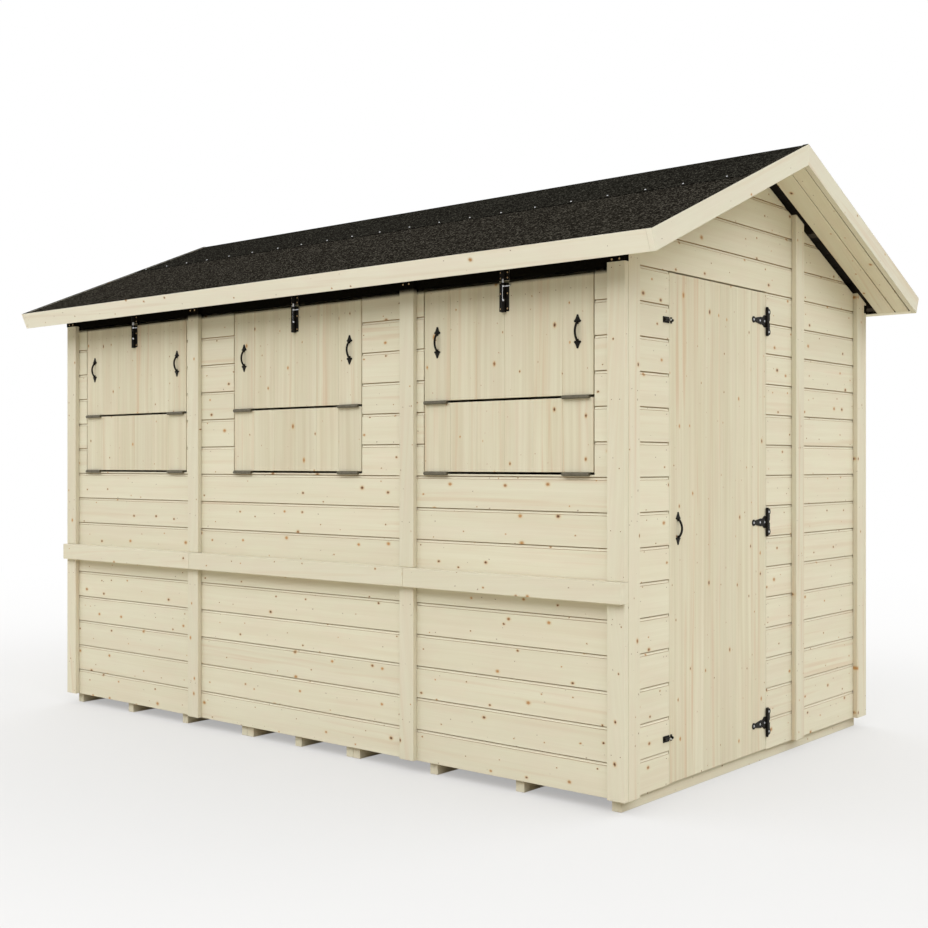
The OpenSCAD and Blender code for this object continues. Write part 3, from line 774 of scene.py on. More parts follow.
def cut_away(mesh: bmesh.types.BMesh, point: Vector, normal: Vector) -> None:
    """Cuts off what lies beyond a plane, and closes the cut.

    Args:
        mesh: a closed mesh.
        point: a point on the plane.
        normal: points to the side that is cut off.
    """
    parts = mesh.verts[:] + mesh.edges[:] + mesh.faces[:]
    cut = bmesh.ops.bisect_plane(
        mesh, geom=parts, plane_co=point, plane_no=normal, dist=WELD, clear_outer=True)
    rim = [e for e in cut["geom_cut"] if isinstance(e, bmesh.types.BMEdge)]
    if rim:
        bmesh.ops.edgenet_fill(mesh, edges=rim)
        clean_normals(mesh)


def round_edges(mesh: bmesh.types.BMesh, radius: float, segments: int) -> None:
    """Rounds every sharp edge, and marks the new faces as arris.

    Args:
        mesh: a closed mesh.
        radius: how far from the edge the rounding starts.
        segments: how many faces it takes.
    """
    layer = mesh.faces.layers.float.get("arris_face") or mesh.faces.layers.float.new("arris_face")
    sharp = [e for e in mesh.edges if e.is_manifold and e.calc_face_angle(0) > math.radians(25)]
    made = bmesh.ops.bevel(mesh, geom=sharp, offset=radius, segments=segments, profile=0.5,
                           affect="EDGES", clamp_overlap=True)
    for face in made["faces"]:
        face[layer] = 1.0


def islands(node: str) -> list[bmesh.types.BMesh]:
    """The separate solids of a CAD node.

    Args:
        node: the node's name.
    Returns:
        One mesh of triangles for each solid, from left to right and always in the same order.
    """
    whole = bmesh.new()
    whole.from_mesh(frame["nodes"][node].data)
    bmesh.ops.remove_doubles(whole, verts=whole.verts[:], dist=WELD)
    left = dict.fromkeys(whole.faces)
    found = []
    while left:
        group = [next(iter(left))]
        del left[group[0]]
        for face in group:
            for other in [other for edge in face.edges for other in edge.link_faces]:
                if other in left:
                    del left[other]
                    group.append(other)
        part = bmesh.new()
        twins = {v: part.verts.new(v.co) for v in dict.fromkeys(v for f in group for v in f.verts)}
        for face in group:
            part.faces.new([twins[v] for v in face.verts])
        clean_normals(part)
        found.append(part)
    whole.free()
    return sorted(found, key=lambda m: tuple(round(c, 3) for c in span(m)[0]))


def span(mesh: bmesh.types.BMesh) -> tuple[Vector, Vector]:
    """Lowest and highest corner of a mesh."""
    low = Vector(min(v.co[k] for v in mesh.verts) for k in range(3))
    high = Vector(max(v.co[k] for v in mesh.verts) for k in range(3))
    return low, high


def long_axes(mesh: bmesh.types.BMesh) -> tuple[Vector, Vector]:
    """The axes that a batten's grain is laid by.

    The edges of its triangles count too, so both may lie a few degrees off the batten's own edges.

    Args:
        mesh: a straight batten, in triangles.
    Returns:
        A unit vector along its longest edge, and one square to that, towards the next longest edge.
    """
    edges = sorted(((e.verts[1].co - e.verts[0].co) for e in mesh.edges), key=lambda d: -d.length)
    along = edges[0].normalized()
    across = next((d for d in edges if abs(d.normalized().dot(along)) < 0.5), along.orthogonal())
    return along, (across - along * across.dot(along)).normalized()


class Joinery:
    """Collects timbers into one mesh with a grain place and a number for each."""

    def __init__(self, name: str, seed: int) -> None:
        """Starts an empty piece.

        Args:
            name: the piece's name.
            seed: starts the piece's own row of random numbers.
        """
        self.name = name
        self.rng = random.Random(seed)
        self.mesh = bmesh.new()
        self.grain = self.mesh.loops.layers.float_vector.new("grain")
        self.marks = {name: self.mesh.faces.layers.float.new(name) for name in ("board", "arris", "groove_shade")}

    def add(self, timber: Timber, number: float | None = None) -> None:
        """Adds one timber, and frees its own mesh.

        Args:
            timber: the board or batten.
            number: its number, where it has to match another; otherwise it is drawn at random.
        """
        number = self.rng.random() if number is None else number
        shift = Vector((number * 97.0, number * 41.0, number * 13.0))
        deep = timber.along.cross(timber.across)
        given = {name: timber.mesh.faces.layers.float.get(f"{name}_face") for name in ("arris", "groove_shade")}
        twins = {v: self.mesh.verts.new(v.co) for v in timber.mesh.verts}
        for face in timber.mesh.faces:
            new = self.mesh.faces.new([twins[v] for v in face.verts])
            new[self.marks["board"]] = number
            for name, layer in given.items():
                new[self.marks[name]] = face[layer] if layer else 0.0
            for loop in new.loops:
                place = loop.vert.co - timber.start
                parts = [place.dot(axis) for axis in (timber.along, timber.across, deep)]
                loop[self.grain] = shift + Vector(parts)
        timber.mesh.free()

    def finish(self, finish: Finish, nodes: Sequence[str], body: str = BODY) -> bpy.types.Object:
        """Makes the object.

        Args:
            finish: its material.
            nodes: the CAD nodes that it stands for.
            body: what it moves with.
        Returns:
            The object.
        """
        return hand_over(mesh_data(self.mesh, self.name), self.name, finish, nodes, body, sharp=12.0)


def hand_over(data: bpy.types.Mesh, name: str, finish: Finish, nodes: Sequence[str] = (),
              body: str = BODY, sharp: float = 35.0) -> bpy.types.Object:
    """Args:
        data: the mesh.
        name: the piece's name.
        finish: its material.
        nodes: the CAD nodes that it stands for.
        body: what it moves with.
        sharp: edges that turn by more degrees than this stay crisp.
    Returns:
        The object.
    """
    data.materials.append(material_of(finish))
    data.shade_smooth()
    data.set_sharp_from_angle(angle=math.radians(sharp))
    piece = place_object(name, data)
    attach(piece, body)
    if nodes:
        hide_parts(*nodes)
    LOG.info("%s: %d faces for %s", name, len(data.polygons), ", ".join(nodes) or "fixings")
    return piece


# ---------------------------------------------------------------- walls


@dataclass(frozen=True)
class Opening:
    """A rectangular hole through a wall, as the way along and the height of its two corners."""

    low: tuple[float, float]
    high: tuple[float, float]


@dataclass
class CladWall:
    """One section of horizontal shiplap.

    Each board's top is scooped out to meet the lip of the board above, which laps over its tongue.
    """

    node: str
    outward: Vector
    seed: int
    opening: Opening | None = None
    scoop_h: float = 0.0112
    scoop_d: float = 0.0034
    nick_h: float = 0.0013
    nick_d: float = 0.0030
    nick_drop: float = 0.3
    nick_mark: float = 0.6
    slot_h: float = 0.0027
    rebate: float = 0.0080
    tongue: float = 0.0055
    air: float = 0.0004
    shy: float = 0.0006
    skin: float = 0.001
    slack: float = 0.0005
    scoop_steps: int = 5
    cutter_t: float = 0.1

    @property
    def along(self) -> Vector:
        """The way the boards run."""
        return sideways(self.outward)

    def profile(self) -> list[tuple[float, float]]:
        """The board's section.

        Returns:
            Its points, as (out from the face, up from its lip).
        """
        cover, back, shy = SHED.cover, -SHED.board_t, self.shy
        start = cover - self.scoop_h
        foot, head = start + self.nick_h, cover - self.slot_h
        scoop = []
        for i in range(self.scoop_steps + 1):
            angle = math.radians(90) * i / self.scoop_steps
            depth = shy + (self.scoop_d - shy) * math.sin(angle)
            scoop.append((-depth, foot + (head - foot) * (1 - math.cos(angle))))
        behind, lap = self.air - self.rebate, self.tongue + self.air
        nick = (-self.nick_d, start - self.nick_h * self.nick_drop)
        return [(-shy, 0.0), (0.0, shy), (0.0, start), nick, *scoop, (-self.rebate, head),
                (-self.rebate, cover + self.tongue), (back, cover + self.tongue), (back, lap), (behind, lap),
                (behind, 0.0)]

    def board(self, row: int, low: Vector, high: Vector) -> bmesh.types.BMesh:
        """One board, as long as the section and cut to its box and the roof.

        Args:
            row: which board, counted from the foot.
            low: the section's lowest corner.
            high: the section's highest corner.
        Returns:
            The mesh.
        """
        along = self.along
        base = Vector((0, 0, SHED.foot_z + row * SHED.cover)) + along * low.dot(along)
        base += self.outward * face_of(low, high, self.outward)
        place = Matrix.Translation(base) @ Matrix((along, self.outward, Z_AXIS)).transposed().to_4x4()
        mesh = prism(self.profile(), (high - low).dot(along), place)
        self.mark_groove_shade(mesh, place.translation)
        for point, normal in SHED.roof_planes(SHED.edge_h):
            cut_away(mesh, point, normal)
        if span(mesh)[0].z < low.z - 1e-5:
            cut_away(mesh, low, -Z_AXIS)
        if mesh.verts and span(mesh)[1].z > high.z + 1e-5:
            cut_away(mesh, high, Z_AXIS)
        return mesh

    def mark_groove_shade(self, mesh: bmesh.types.BMesh, base: Vector) -> None:
        """Marks the sides of the nick and of the slot behind the lip for painted shade, a brown coat that
        darkens and warms their shadow.

        Args:
            mesh: the board.
            base: the foot of its face at its left end.
        """
        layer = mesh.faces.layers.float.new("groove_shade_face")
        nick_top = SHED.cover - self.scoop_h + self.nick_h * self.nick_mark
        slot_foot = SHED.cover - self.slot_h - self.slack
        for face in mesh.faces:
            middle = face.calc_center_median() - base
            depth, height = -middle.dot(self.outward), middle.z
            if depth <= self.skin or abs(face.normal.dot(self.along)) > 0.9:
                continue
            in_nick = depth < self.nick_d and height < nick_top
            at_lip = height > slot_foot or height < self.tongue + self.skin
            face[layer] = float(in_nick or (at_lip and depth < self.rebate + self.slack))

    def cut_opening(self, mesh: bmesh.types.BMesh) -> bmesh.types.BMesh:
        """Cuts the opening through one board.

        Args:
            mesh: the board.
        Returns:
            The cut board, which may be in two lengths.
        """
        assert self.opening is not None
        low, high = span(mesh)
        (x0, z0), (x1, z1) = self.opening.low, self.opening.high
        if low.z >= z1 or high.z <= z0:
            return mesh
        middle = Vector(((x0 + x1) / 2, (low.y + high.y) / 2, (z0 + z1) / 2))
        size = Vector((x1 - x0, self.cutter_t, z1 - z0))
        block = bmesh.new()
        bmesh.ops.create_cube(block, matrix=Matrix.Translation(middle) @ Matrix.Diagonal(size).to_4x4())
        board = place_object("board", mesh_data(mesh, "board"))
        cutter = place_object("cutter", mesh_data(block, "cutter"))
        step = board.modifiers.new("opening", "BOOLEAN")
        step.operation, step.solver, step.object = "DIFFERENCE", "EXACT", cutter
        cut = bmesh.new()
        cut.from_object(board, bpy.context.evaluated_depsgraph_get())
        for item in (board, cutter):
            data = item.data
            bpy.data.objects.remove(item)
            bpy.data.meshes.remove(data)
        return cut

    def build(self) -> None:
        """Builds the section's boards."""
        low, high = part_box(self.node)
        work = Joinery(f"{self.node}_boards", self.seed)
        rows = math.ceil((high.z - SHED.foot_z) / SHED.cover)
        for row in range(int((low.z - SHED.foot_z) / SHED.cover), rows):
            mesh = self.board(row, low, high)
            if self.opening is not None:
                mesh = self.cut_opening(mesh)
            start = Vector((0, 0, SHED.foot_z + row * SHED.cover))
            if mesh.faces:
                work.add(Timber(mesh, self.along, Z_AXIS, start))
        work.finish(Finish.WALL, [self.node])


def hatch_opening(side: str, edge_gap: float = 0.005, hinge_gap: float = 0.008) -> Opening:
    """The hole in the front wall that a hatch fills.

    Args:
        side: left, middle or right.
        edge_gap: air beside and above the leaves.
        hinge_gap: air under the lower leaf.
    Returns:
        The opening.
    """
    low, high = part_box(f"hatch_{side}_lower")[0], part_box(f"hatch_{side}_upper")[1]
    return Opening((low.x - edge_gap, low.z - hinge_gap), (high.x + edge_gap, high.z + edge_gap))


def wall_sections() -> list[tuple[str, Vector, int]]:
    """Every section of cladding.

    Returns:
        Each section's node, the way it faces and its own seed.
    """
    sections = []
    for i, third in enumerate(THIRDS):
        sections += [(f"front_wall_{third}", -Y_AXIS, 11 + i), (f"back_wall_{third}", Y_AXIS, 21 + i)]
    sections += [(f"left_wall_{part}", -X_AXIS, 31 + i) for i, part in enumerate(("front", "rear"))]
    gable = ("latch_side", "hinge_side", "over_door", "rear")
    return sections + [(f"right_wall_{part}", X_AXIS, 41 + i) for i, part in enumerate(gable)]


def build_walls() -> None:
    """Builds every section of cladding, the front ones with the openings of their hatches."""
    for node, outward, seed in wall_sections():
        third = node.removeprefix("front_wall_")
        CladWall(node, outward, seed, hatch_opening(third) if third in THIRDS else None).build()


# ---------------------------------------------------------------- straight timbers


@dataclass
class Timbers:
    """A family of straight timbers taken from one CAD node, with their edges rounded and their grain laid."""

    node: str
    finish: Finish
    seed: int
    radius: float
    segments: int
    shrink: float = 0.0
    inward: float = 0.0
    outer_gap: float = 0.004
    inner_reach: float = 0.06
    # end_finish and top_finish give the faces that look one way another finish: lit and shaded copies and
    # dark tops, which paint light and shade by direction
    end_axis: tuple[float, float, float] = (1.0, 0.0, 0.0)
    end_turn: float = 0.6
    end_finish: Finish | None = None
    top_turn: float = 0.3
    top_finish: Finish | None = None
    body: str = BODY

    def reshape(self, mesh: bmesh.types.BMesh, across: Vector) -> None:
        """Draws a soffit board's corners in along its cross axis, then moves one of its edges.

        Args:
            mesh: the board.
            across: its cross axis, which long_axes gives.
        """
        start, end = span(mesh)
        middle = (start + end) / 2
        inner = min(abs(start.x), abs(end.x)) < SHED.face_x + self.inner_reach
        step = math.copysign(self.inward if inner else self.outer_gap, middle.x)
        for vert in mesh.verts:
            vert.co -= across * math.copysign(self.shrink, vert.co.dot(across) - middle.dot(across))
            if (abs(vert.co.x) < abs(middle.x)) == inner:
                vert.co.x -= step

    def build(self) -> None:
        """Builds the family as one piece."""
        work = Joinery(f"{self.node}_timbers", self.seed)
        for mesh in islands(self.node):
            along, across = long_axes(mesh)
            start = span(mesh)[0]
            if self.inward > 0:
                self.reshape(mesh, across)
            round_edges(mesh, self.radius, self.segments)
            work.add(Timber(mesh, along, across, start))
        piece = work.finish(self.finish, [self.node], self.body)
        ends = Vector(self.end_axis)
        if self.end_finish is not None:
            self.repaint(piece, self.end_finish, lambda normal: abs(normal.dot(ends)) > self.end_turn)
        if self.top_finish is not None:
            self.repaint(piece, self.top_finish, lambda normal: normal.z > self.top_turn)

    def repaint(self, piece: bpy.types.Object, finish: Finish, chosen: Callable[[Vector], bool]) -> None:
        """Gives another finish to some faces, chosen by the way they look, which paints light and shade by
        direction.

        Args:
            piece: the object.
            finish: their new finish.
            chosen: says by a face's normal whether it is one of them.
        """
        piece.data.materials.append(material_of(finish))
        for face in piece.data.polygons:
            if chosen(face.normal):
                face.material_index = len(piece.data.materials) - 1


@dataclass
class EavesShadeFelt:
    """Painted shade: strips of black felt turned down behind each eaves board, over the top of the wall and
    its strips, which stand in for the shadow under the eaves.
    """

    foot_z: float = 1.6860
    strip_foot_z: float = 1.6900
    corner_foot_z: float = 1.7190
    drop: float = 0.004
    stand_off: float = 0.024
    thickness: float = 0.0012
    margin: float = 0.0012
    air: float = 0.0002
    least: float = 0.01
    keeper_w: float = 0.041
    corner: float = 0.1
    tack_x: float = 0.014
    tack_z: float = 1.727
    tack_r: float = 0.0032
    tack_turn: float = 0.6

    def lengths(self, breaks: Sequence[tuple[float, float]]) -> list[tuple[float, float]]:
        """The stretches of wall between the strips and keepers.

        Args:
            breaks: low and high end of what stands on the wall.
        Returns:
            The low and high end of each stretch.
        """
        ends = [(-SHED.face_x, -SHED.face_x), *sorted(breaks), (SHED.face_x, SHED.face_x)]
        stretches = [(a[1] + self.margin, b[0] - self.margin) for a, b in zip(ends, ends[1:])]
        return [(low, high) for low, high in stretches if high - low > self.least]

    def standing(self, side: int) -> list[tuple[float, float, float, float]]:
        """The cover strips that reach the top of one long wall.

        Args:
            side: -1 in front and 1 behind.
        Returns:
            The left and right end, the distance of the face from the middle, and the top of each.
        """
        found = []
        for solid in islands("corner_strips") + islands("joint_strips"):
            low, high = span(solid)
            solid.free()
            face = high.y if side > 0 else -low.y
            if face > SHED.face_y + self.least and high.z > self.foot_z and low.y * side > 0:
                found.append((low.x, high.x, face, high.z))
        return found

    def keepers(self) -> list[tuple[float, float]]:
        """The left and right end of each bolt's keeper on the front wall."""
        middles = [sum(corner.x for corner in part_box(f"hatch_{third}_upper")) / 2 for third in THIRDS]
        return [(middle - self.keeper_w / 2, middle + self.keeper_w / 2) for middle in middles]

    def build(self) -> None:
        """Builds the strips of painted shade on both long walls, and the screws that hold them."""
        work = Joinery("eaves_shade_felt", 68)
        tacks = Fixings("eaves_screws", Finish.SCREW)
        top = SHED.ridge_z - (SHED.edge_h + self.drop) / math.cos(SHED.pitch)
        top -= (SHED.face_y + self.stand_off) * math.tan(SHED.pitch)
        for side in (-1, 1):
            standing = self.standing(side)
            breaks = [(low, high) for low, high, _, _ in standing] + (self.keepers() if side < 0 else [])
            for ends in self.lengths(breaks):
                self.strip(work, ends, (self.foot_z, top), side)
            for low, high, face, head in standing:
                middle, rest = (low + high) / 2, face + self.thickness + self.air
                for place in (middle - self.tack_x, middle + self.tack_x):
                    point = Vector((place, side * rest, self.tack_z))
                    tacks.screw(point, Y_AXIS * side, self.tack_r, self.tack_turn)
                foot = self.corner_foot_z if abs(middle) > SHED.face_x - self.corner else self.strip_foot_z
                wide = (low - self.thickness, high + self.thickness)
                self.strip(work, wide, (foot, min(top, head)), side, face - SHED.face_y)
        tacks.finish_up()
        work.finish(Finish.SHADE_FELT, [])

    def strip(self, work: Joinery, xs: tuple[float, float], zs: tuple[float, float], side: int,
              depth: float = 0.0) -> None:
        """Adds one strip of felt, flat on the wall or wrapped over what stands on it, as painted shade.

        Args:
            work: the piece it is part of.
            xs: its left and right end.
            zs: its foot and its top.
            side: -1 in front and 1 behind.
            depth: how far what it wraps stands out from the wall.
        """
        low = Vector((xs[0], side * (SHED.face_y + self.air), zs[0]))
        out, rise = (depth + self.thickness) * side, zs[1] - zs[0]
        outline = [(0.0, 0.0), (out, 0.0), (out, rise), (0.0, rise)]
        mesh = prism(outline, xs[1] - xs[0], Matrix.Translation(low))
        work.add(Timber(mesh, X_AXIS, Z_AXIS, low))


def build_timbers() -> None:
    """Builds the frames, strips, rail and roof timbers."""
    for i, node in enumerate(("front_frames", "back_frames", "left_frames", "right_frames")):
        Timbers(node, Finish.FRAMING, 51 + i, 0.0008, 1).build()
    Timbers("roof_purlins", Finish.ROOF_FRAMING, 55, 0.0008, 1).build()
    Timbers("floor_bearers", Finish.WALL, 57, 0.001, 1).build()
    Timbers("corner_strips", Finish.TRIM, 61, 0.0022, 2).build()
    Timbers("joint_strips", Finish.TRIM, 62, 0.0022, 2).build()
    # the rail's upward faces take the darker copy: painted shade
    Timbers("counter_rail", Finish.TRIM, 63, 0.0022, 2, top_finish=Finish.SHADED_TOP).build()
    # painted light: the fascia and the barge ends that look to the front and back take the lighter eaves
    # copy, the faces that look sideways take the edge copy
    Timbers("fascia_boards", Finish.LIT_EAVES, 64, 0.0012, 2, end_finish=Finish.EDGE,
            top_finish=Finish.FELT).build()
    # the top faces of the fascia and the barge take the black felt: the felt turned over their top edges, and
    # also painted shade that keeps those edges from lighting up under the light from above
    Timbers("barge_boards", Finish.EDGE, 65, 0.0012, 2, end_axis=(0.0, 1.0, 0.0), end_finish=Finish.LIT_EAVES,
            top_finish=Finish.FELT).build()
    Timbers("soffit_boards", Finish.WALL, 66, 0.0012, 1, 0.0025, 0.016).build()
    # dark felt strips under the eaves: painted shade
    EavesShadeFelt().build()
    Timbers("door_ledges", Finish.FRAMING, 67, 0.0012, 2, body=DOOR_BODY).build()


# ---------------------------------------------------------------- boarded panels


@dataclass
class BoardedPanel:
    """A flat panel of boards set edge to edge, which takes the place of one plain CAD slab."""

    node: str
    finish: Finish
    seed: int
    along: Vector
    across: Vector
    count: int
    joint: float = 0.0003
    radius: float = 0.0008
    reach: float = 0.0
    batten_r: float = 0.0012
    body: str = BODY

    def widen(self, slab: bmesh.types.BMesh, low: float, high: float) -> None:
        """Moves the slab's two outer edges outwards, which narrows the gap beside it.

        Args:
            slab: the plain slab.
            low: its lower edge, measured across.
            high: its higher edge.
        """
        for vert in slab.verts:
            side = -1 if vert.co.dot(self.across) < (low + high) / 2 else 1
            vert.co += self.across * side * self.reach

    def build(self) -> None:
        """Builds the panel's boards, and any battens of the same node behind them."""
        work = Joinery(f"{self.node}_panel", self.seed)
        solids = sorted(islands(self.node), key=lambda m: -m.calc_volume())
        slab, battens = solids[0], solids[1:]
        places = [v.co.dot(self.across) for v in slab.verts]
        low, high = min(places), max(places)
        if self.reach > 0:
            self.widen(slab, low, high)
            low, high = low - self.reach, high + self.reach
        width = (high - low) / self.count
        for i in range(self.count):
            board = slab.copy()
            if i > 0:
                cut_away(board, self.across * (low + i * width + self.joint / 2), -self.across)
            if i < self.count - 1:
                cut_away(board, self.across * (low + (i + 1) * width - self.joint / 2), self.across)
            start = self.across * (low + i * width)
            round_edges(board, self.radius, 1)
            work.add(Timber(board, self.along, self.across, start))
        slab.free()
        for mesh in battens:
            along, across = long_axes(mesh)
            start = span(mesh)[0]
            round_edges(mesh, self.batten_r, 2)
            work.add(Timber(mesh, along, across, start))
        work.finish(self.finish, [self.node], self.body)


def build_panels() -> None:
    """Builds the hatch leaves, the door, the floor and the roof boards."""
    for i, third in enumerate(THIRDS):
        for j, leaf in enumerate(("lower", "upper")):
            BoardedPanel(f"hatch_{third}_{leaf}", Finish.LEAF, 71 + 2 * i + j, Z_AXIS, X_AXIS, 6).build()
    BoardedPanel("door_boards", Finish.LEAF, 77, Z_AXIS, Y_AXIS, 6, reach=0.0045, body=DOOR_BODY).build()
    for i, third in enumerate(THIRDS):
        BoardedPanel(f"floor_{third}", Finish.FLOOR, 81 + i, X_AXIS, Y_AXIS, 16).build()
    for i, (part, side) in enumerate((("front", -1), ("back", 1))):
        down = Vector((0, side * math.cos(SHED.pitch), -math.sin(SHED.pitch)))
        BoardedPanel(f"roof_deck_{part}", Finish.DECK, 91 + i, X_AXIS, down, 11, 0.001).build()


# ---------------------------------------------------------------- CAD nodes that keep their shape


def dress_nodes() -> None:
    """Gives the felts and the ironwork their finishes."""
    families = {
        Finish.FELT: ("side_felts",),
        Finish.RIDGE_FELT: ("ridge_felt",),
        Finish.IRON: ("hatch_pulls", "hatch_bolts", "door_straps", "hinge_plates", "door_pull", "door_bolts",
                      "door_keepers"),
        Finish.STEEL: ("bolt_rods",),
        Finish.BUTT: ("hatch_hinges",),
    }
    for finish, nodes in families.items():
        for node in nodes:
            data = frame["nodes"][node].data
            data.materials.clear()
            data.materials.append(material_of(finish))
            LOG.info("%s: dressed in %s", node, finish.value)


# ---------------------------------------------------------------- fixings


@dataclass
class Fixings:
    """Like fixings on one body, joined in one piece."""

    name: str
    finish: Finish
    body: str = BODY
    mesh: bmesh.types.BMesh = field(default_factory=bmesh.new)

    def facing(self, point: Vector, outward: Vector, turn: float = 0.0) -> Matrix:
        """Where a fixing lies whose own Z axis points outwards."""
        swing = outward.to_track_quat("Z", "Y").to_matrix().to_4x4()
        return Matrix.Translation(point) @ swing @ Matrix.Rotation(turn, 4, "Z")

    def revolve(self, section: Sequence[tuple[float, float]], place: Matrix, sides: int = 16) -> None:
        """Adds a turned shape.

        Args:
            section: (radius, height) points from the rim to the middle.
            place: where it lies.
            sides: how many faces it has round.
        """
        rings = []
        for radius, height in section:
            turns = [math.tau * i / sides for i in range(sides if radius > 0 else 1)]
            points = [Vector((radius * math.cos(turn), radius * math.sin(turn), height)) for turn in turns]
            rings.append([self.mesh.verts.new(place @ point) for point in points])
        for lower, upper in zip(rings, rings[1:]):
            for i in range(sides):
                j = (i + 1) % sides
                rest = upper if len(upper) == 1 else (upper[j], upper[i])
                self.mesh.faces.new((lower[i], lower[j], *rest))

    def nail(self, point: Vector, outward: Vector, radius: float = 0.0016, rise: float = 0.0003) -> None:
        """Adds a nail head, nearly flush with the face.

        Args:
            point: a point on the face.
            outward: the way the face looks.
            radius: of the head.
            rise: how far it stands out.
        """
        section = [(radius, -0.001), (radius, rise * 0.5), (radius * 0.8, rise), (0.0, rise)]
        self.revolve(section, self.facing(point, outward), 10)

    def clout(self, point: Vector, outward: Vector, radius: float = 0.0036) -> None:
        """Adds a broad domed clout head that stands on the face.

        Args:
            point: a point on the face.
            outward: the way the face looks.
            radius: of the head.
        """
        section = [(radius, 0.0), (radius, 0.0012), (radius * 0.8, 0.0030), (radius * 0.4, 0.0042),
                   (0.0, 0.0046)]
        self.revolve(section, self.facing(point, outward))

    def screw(self, point: Vector, outward: Vector, radius: float, turn: float) -> None:
        """Adds a domed screw head with a cross recess.

        Args:
            point: where its rim meets the plate.
            outward: the way it faces.
            radius: of its head.
            turn: angle of the recess.
        """
        place = self.facing(point, outward, turn)
        flat, top = radius * 0.62, 0.0013
        self.revolve([(radius, -0.0004), (radius, 0.0003), (radius * 0.86, 0.0009), (flat, top)], place, 24)
        self.cross_recess(place, flat, top)

    def cross_recess(self, place: Matrix, radius: float, top: float, depth: float = 0.0010) -> None:
        """Closes a screw head with a disc that has a cross sunk in it.

        Args:
            place: where the screw lies.
            radius: of the disc.
            top: height of the disc.
            depth: how deep the cross is.
        """
        arm, half = radius * 0.82, radius * 0.24
        quarter = [(arm, half), (half, half), (half, arm)]
        cross = []
        for k in range(4):
            spin = Matrix.Rotation(math.tau * k / 4, 2)
            cross += [spin @ Vector(p) for p in quarter]
        rim = [Vector((radius * math.cos(math.tau * i / 24), radius * math.sin(math.tau * i / 24)))
               for i in range(24)]
        upper = [self.mesh.verts.new(place @ Vector((p.x, p.y, top))) for p in cross]
        lower = [self.mesh.verts.new(place @ Vector((p.x * 0.7, p.y * 0.7, top - depth))) for p in cross]
        outer = [self.mesh.verts.new(place @ Vector((p.x, p.y, top))) for p in rim]
        for i in range(12):
            j = (i + 1) % 12
            self.mesh.faces.new((upper[i], upper[j], lower[j], lower[i]))
            self.mesh.faces.new((outer[2 * i], outer[(2 * i + 1) % 24], upper[i]))
            self.mesh.faces.new((outer[(2 * i + 1) % 24], outer[(2 * i + 2) % 24], upper[j], upper[i]))
        self.mesh.faces.new(lower)

    def finish_up(self) -> None:
        """Makes the joined piece."""
        bmesh.ops.remove_doubles(self.mesh, verts=self.mesh.verts[:], dist=WELD)
        clean_normals(self.mesh)
        hand_over(mesh_data(self.mesh, self.name), self.name, self.finish, (), self.body)


@dataclass
class DoorHinges:
    """Zinc screws of the three door hinges."""

    plate_t: float = 0.0025
    strap_screws: tuple[float, ...] = (-0.013, -0.048, -0.0955)
    wall_screw: tuple[float, float] = (0.022, 0.0365)
    head: float = 0.0042
    any_turn: float = 1.5

    def build(self) -> None:
        """Builds the screws on the door and on the wall."""
        hinge = frame["joints"][0]["pos_m"]
        on_door = Fixings("door_strap_screws", Finish.STEEL, DOOR_BODY)
        on_wall = Fixings("wall_plate_screws", Finish.STEEL)
        rng = random.Random(7)
        x = SHED.face_x + self.plate_t
        for solid in islands("door_straps"):
            low, high = span(solid)
            z = (low.z + high.z) / 2
            for y in self.strap_screws:
                on_door.screw(Vector((x, hinge[1] + y, z)), X_AXIS, self.head, rng.uniform(0, self.any_turn))
            for side in (-1, 1):
                point = Vector((x, hinge[1] + self.wall_screw[0], z + side * self.wall_screw[1]))
                on_wall.screw(point, X_AXIS, self.head, rng.uniform(0, self.any_turn))
            solid.free()
        on_door.finish_up()
        on_wall.finish_up()


@dataclass
class BoltKnobs:
    """Bright knobs on the two small bolts beside the door."""

    back_from_end: float = 0.0075
    foot: float = 0.0056
    radius: float = 0.0030
    height: float = 0.0096

    def build(self) -> None:
        """Builds one knob for each bolt."""
        knobs = Fixings("door_bolt_knobs", Finish.STEEL)
        heights = set()
        for solid in islands("door_bolts"):
            low, high = span(solid)
            heights.add(round((low.z + high.z) / 2, 3))
            solid.free()
        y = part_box("door_bolts")[1].y - self.back_from_end
        section = [(self.radius, 0.0), (self.radius, self.height * 0.8), (self.radius * 0.7, self.height),
                   (0.0, self.height)]
        for z in sorted(heights):
            knobs.revolve(section, knobs.facing(Vector((SHED.face_x + self.foot, y, z)), X_AXIS))
        knobs.finish_up()


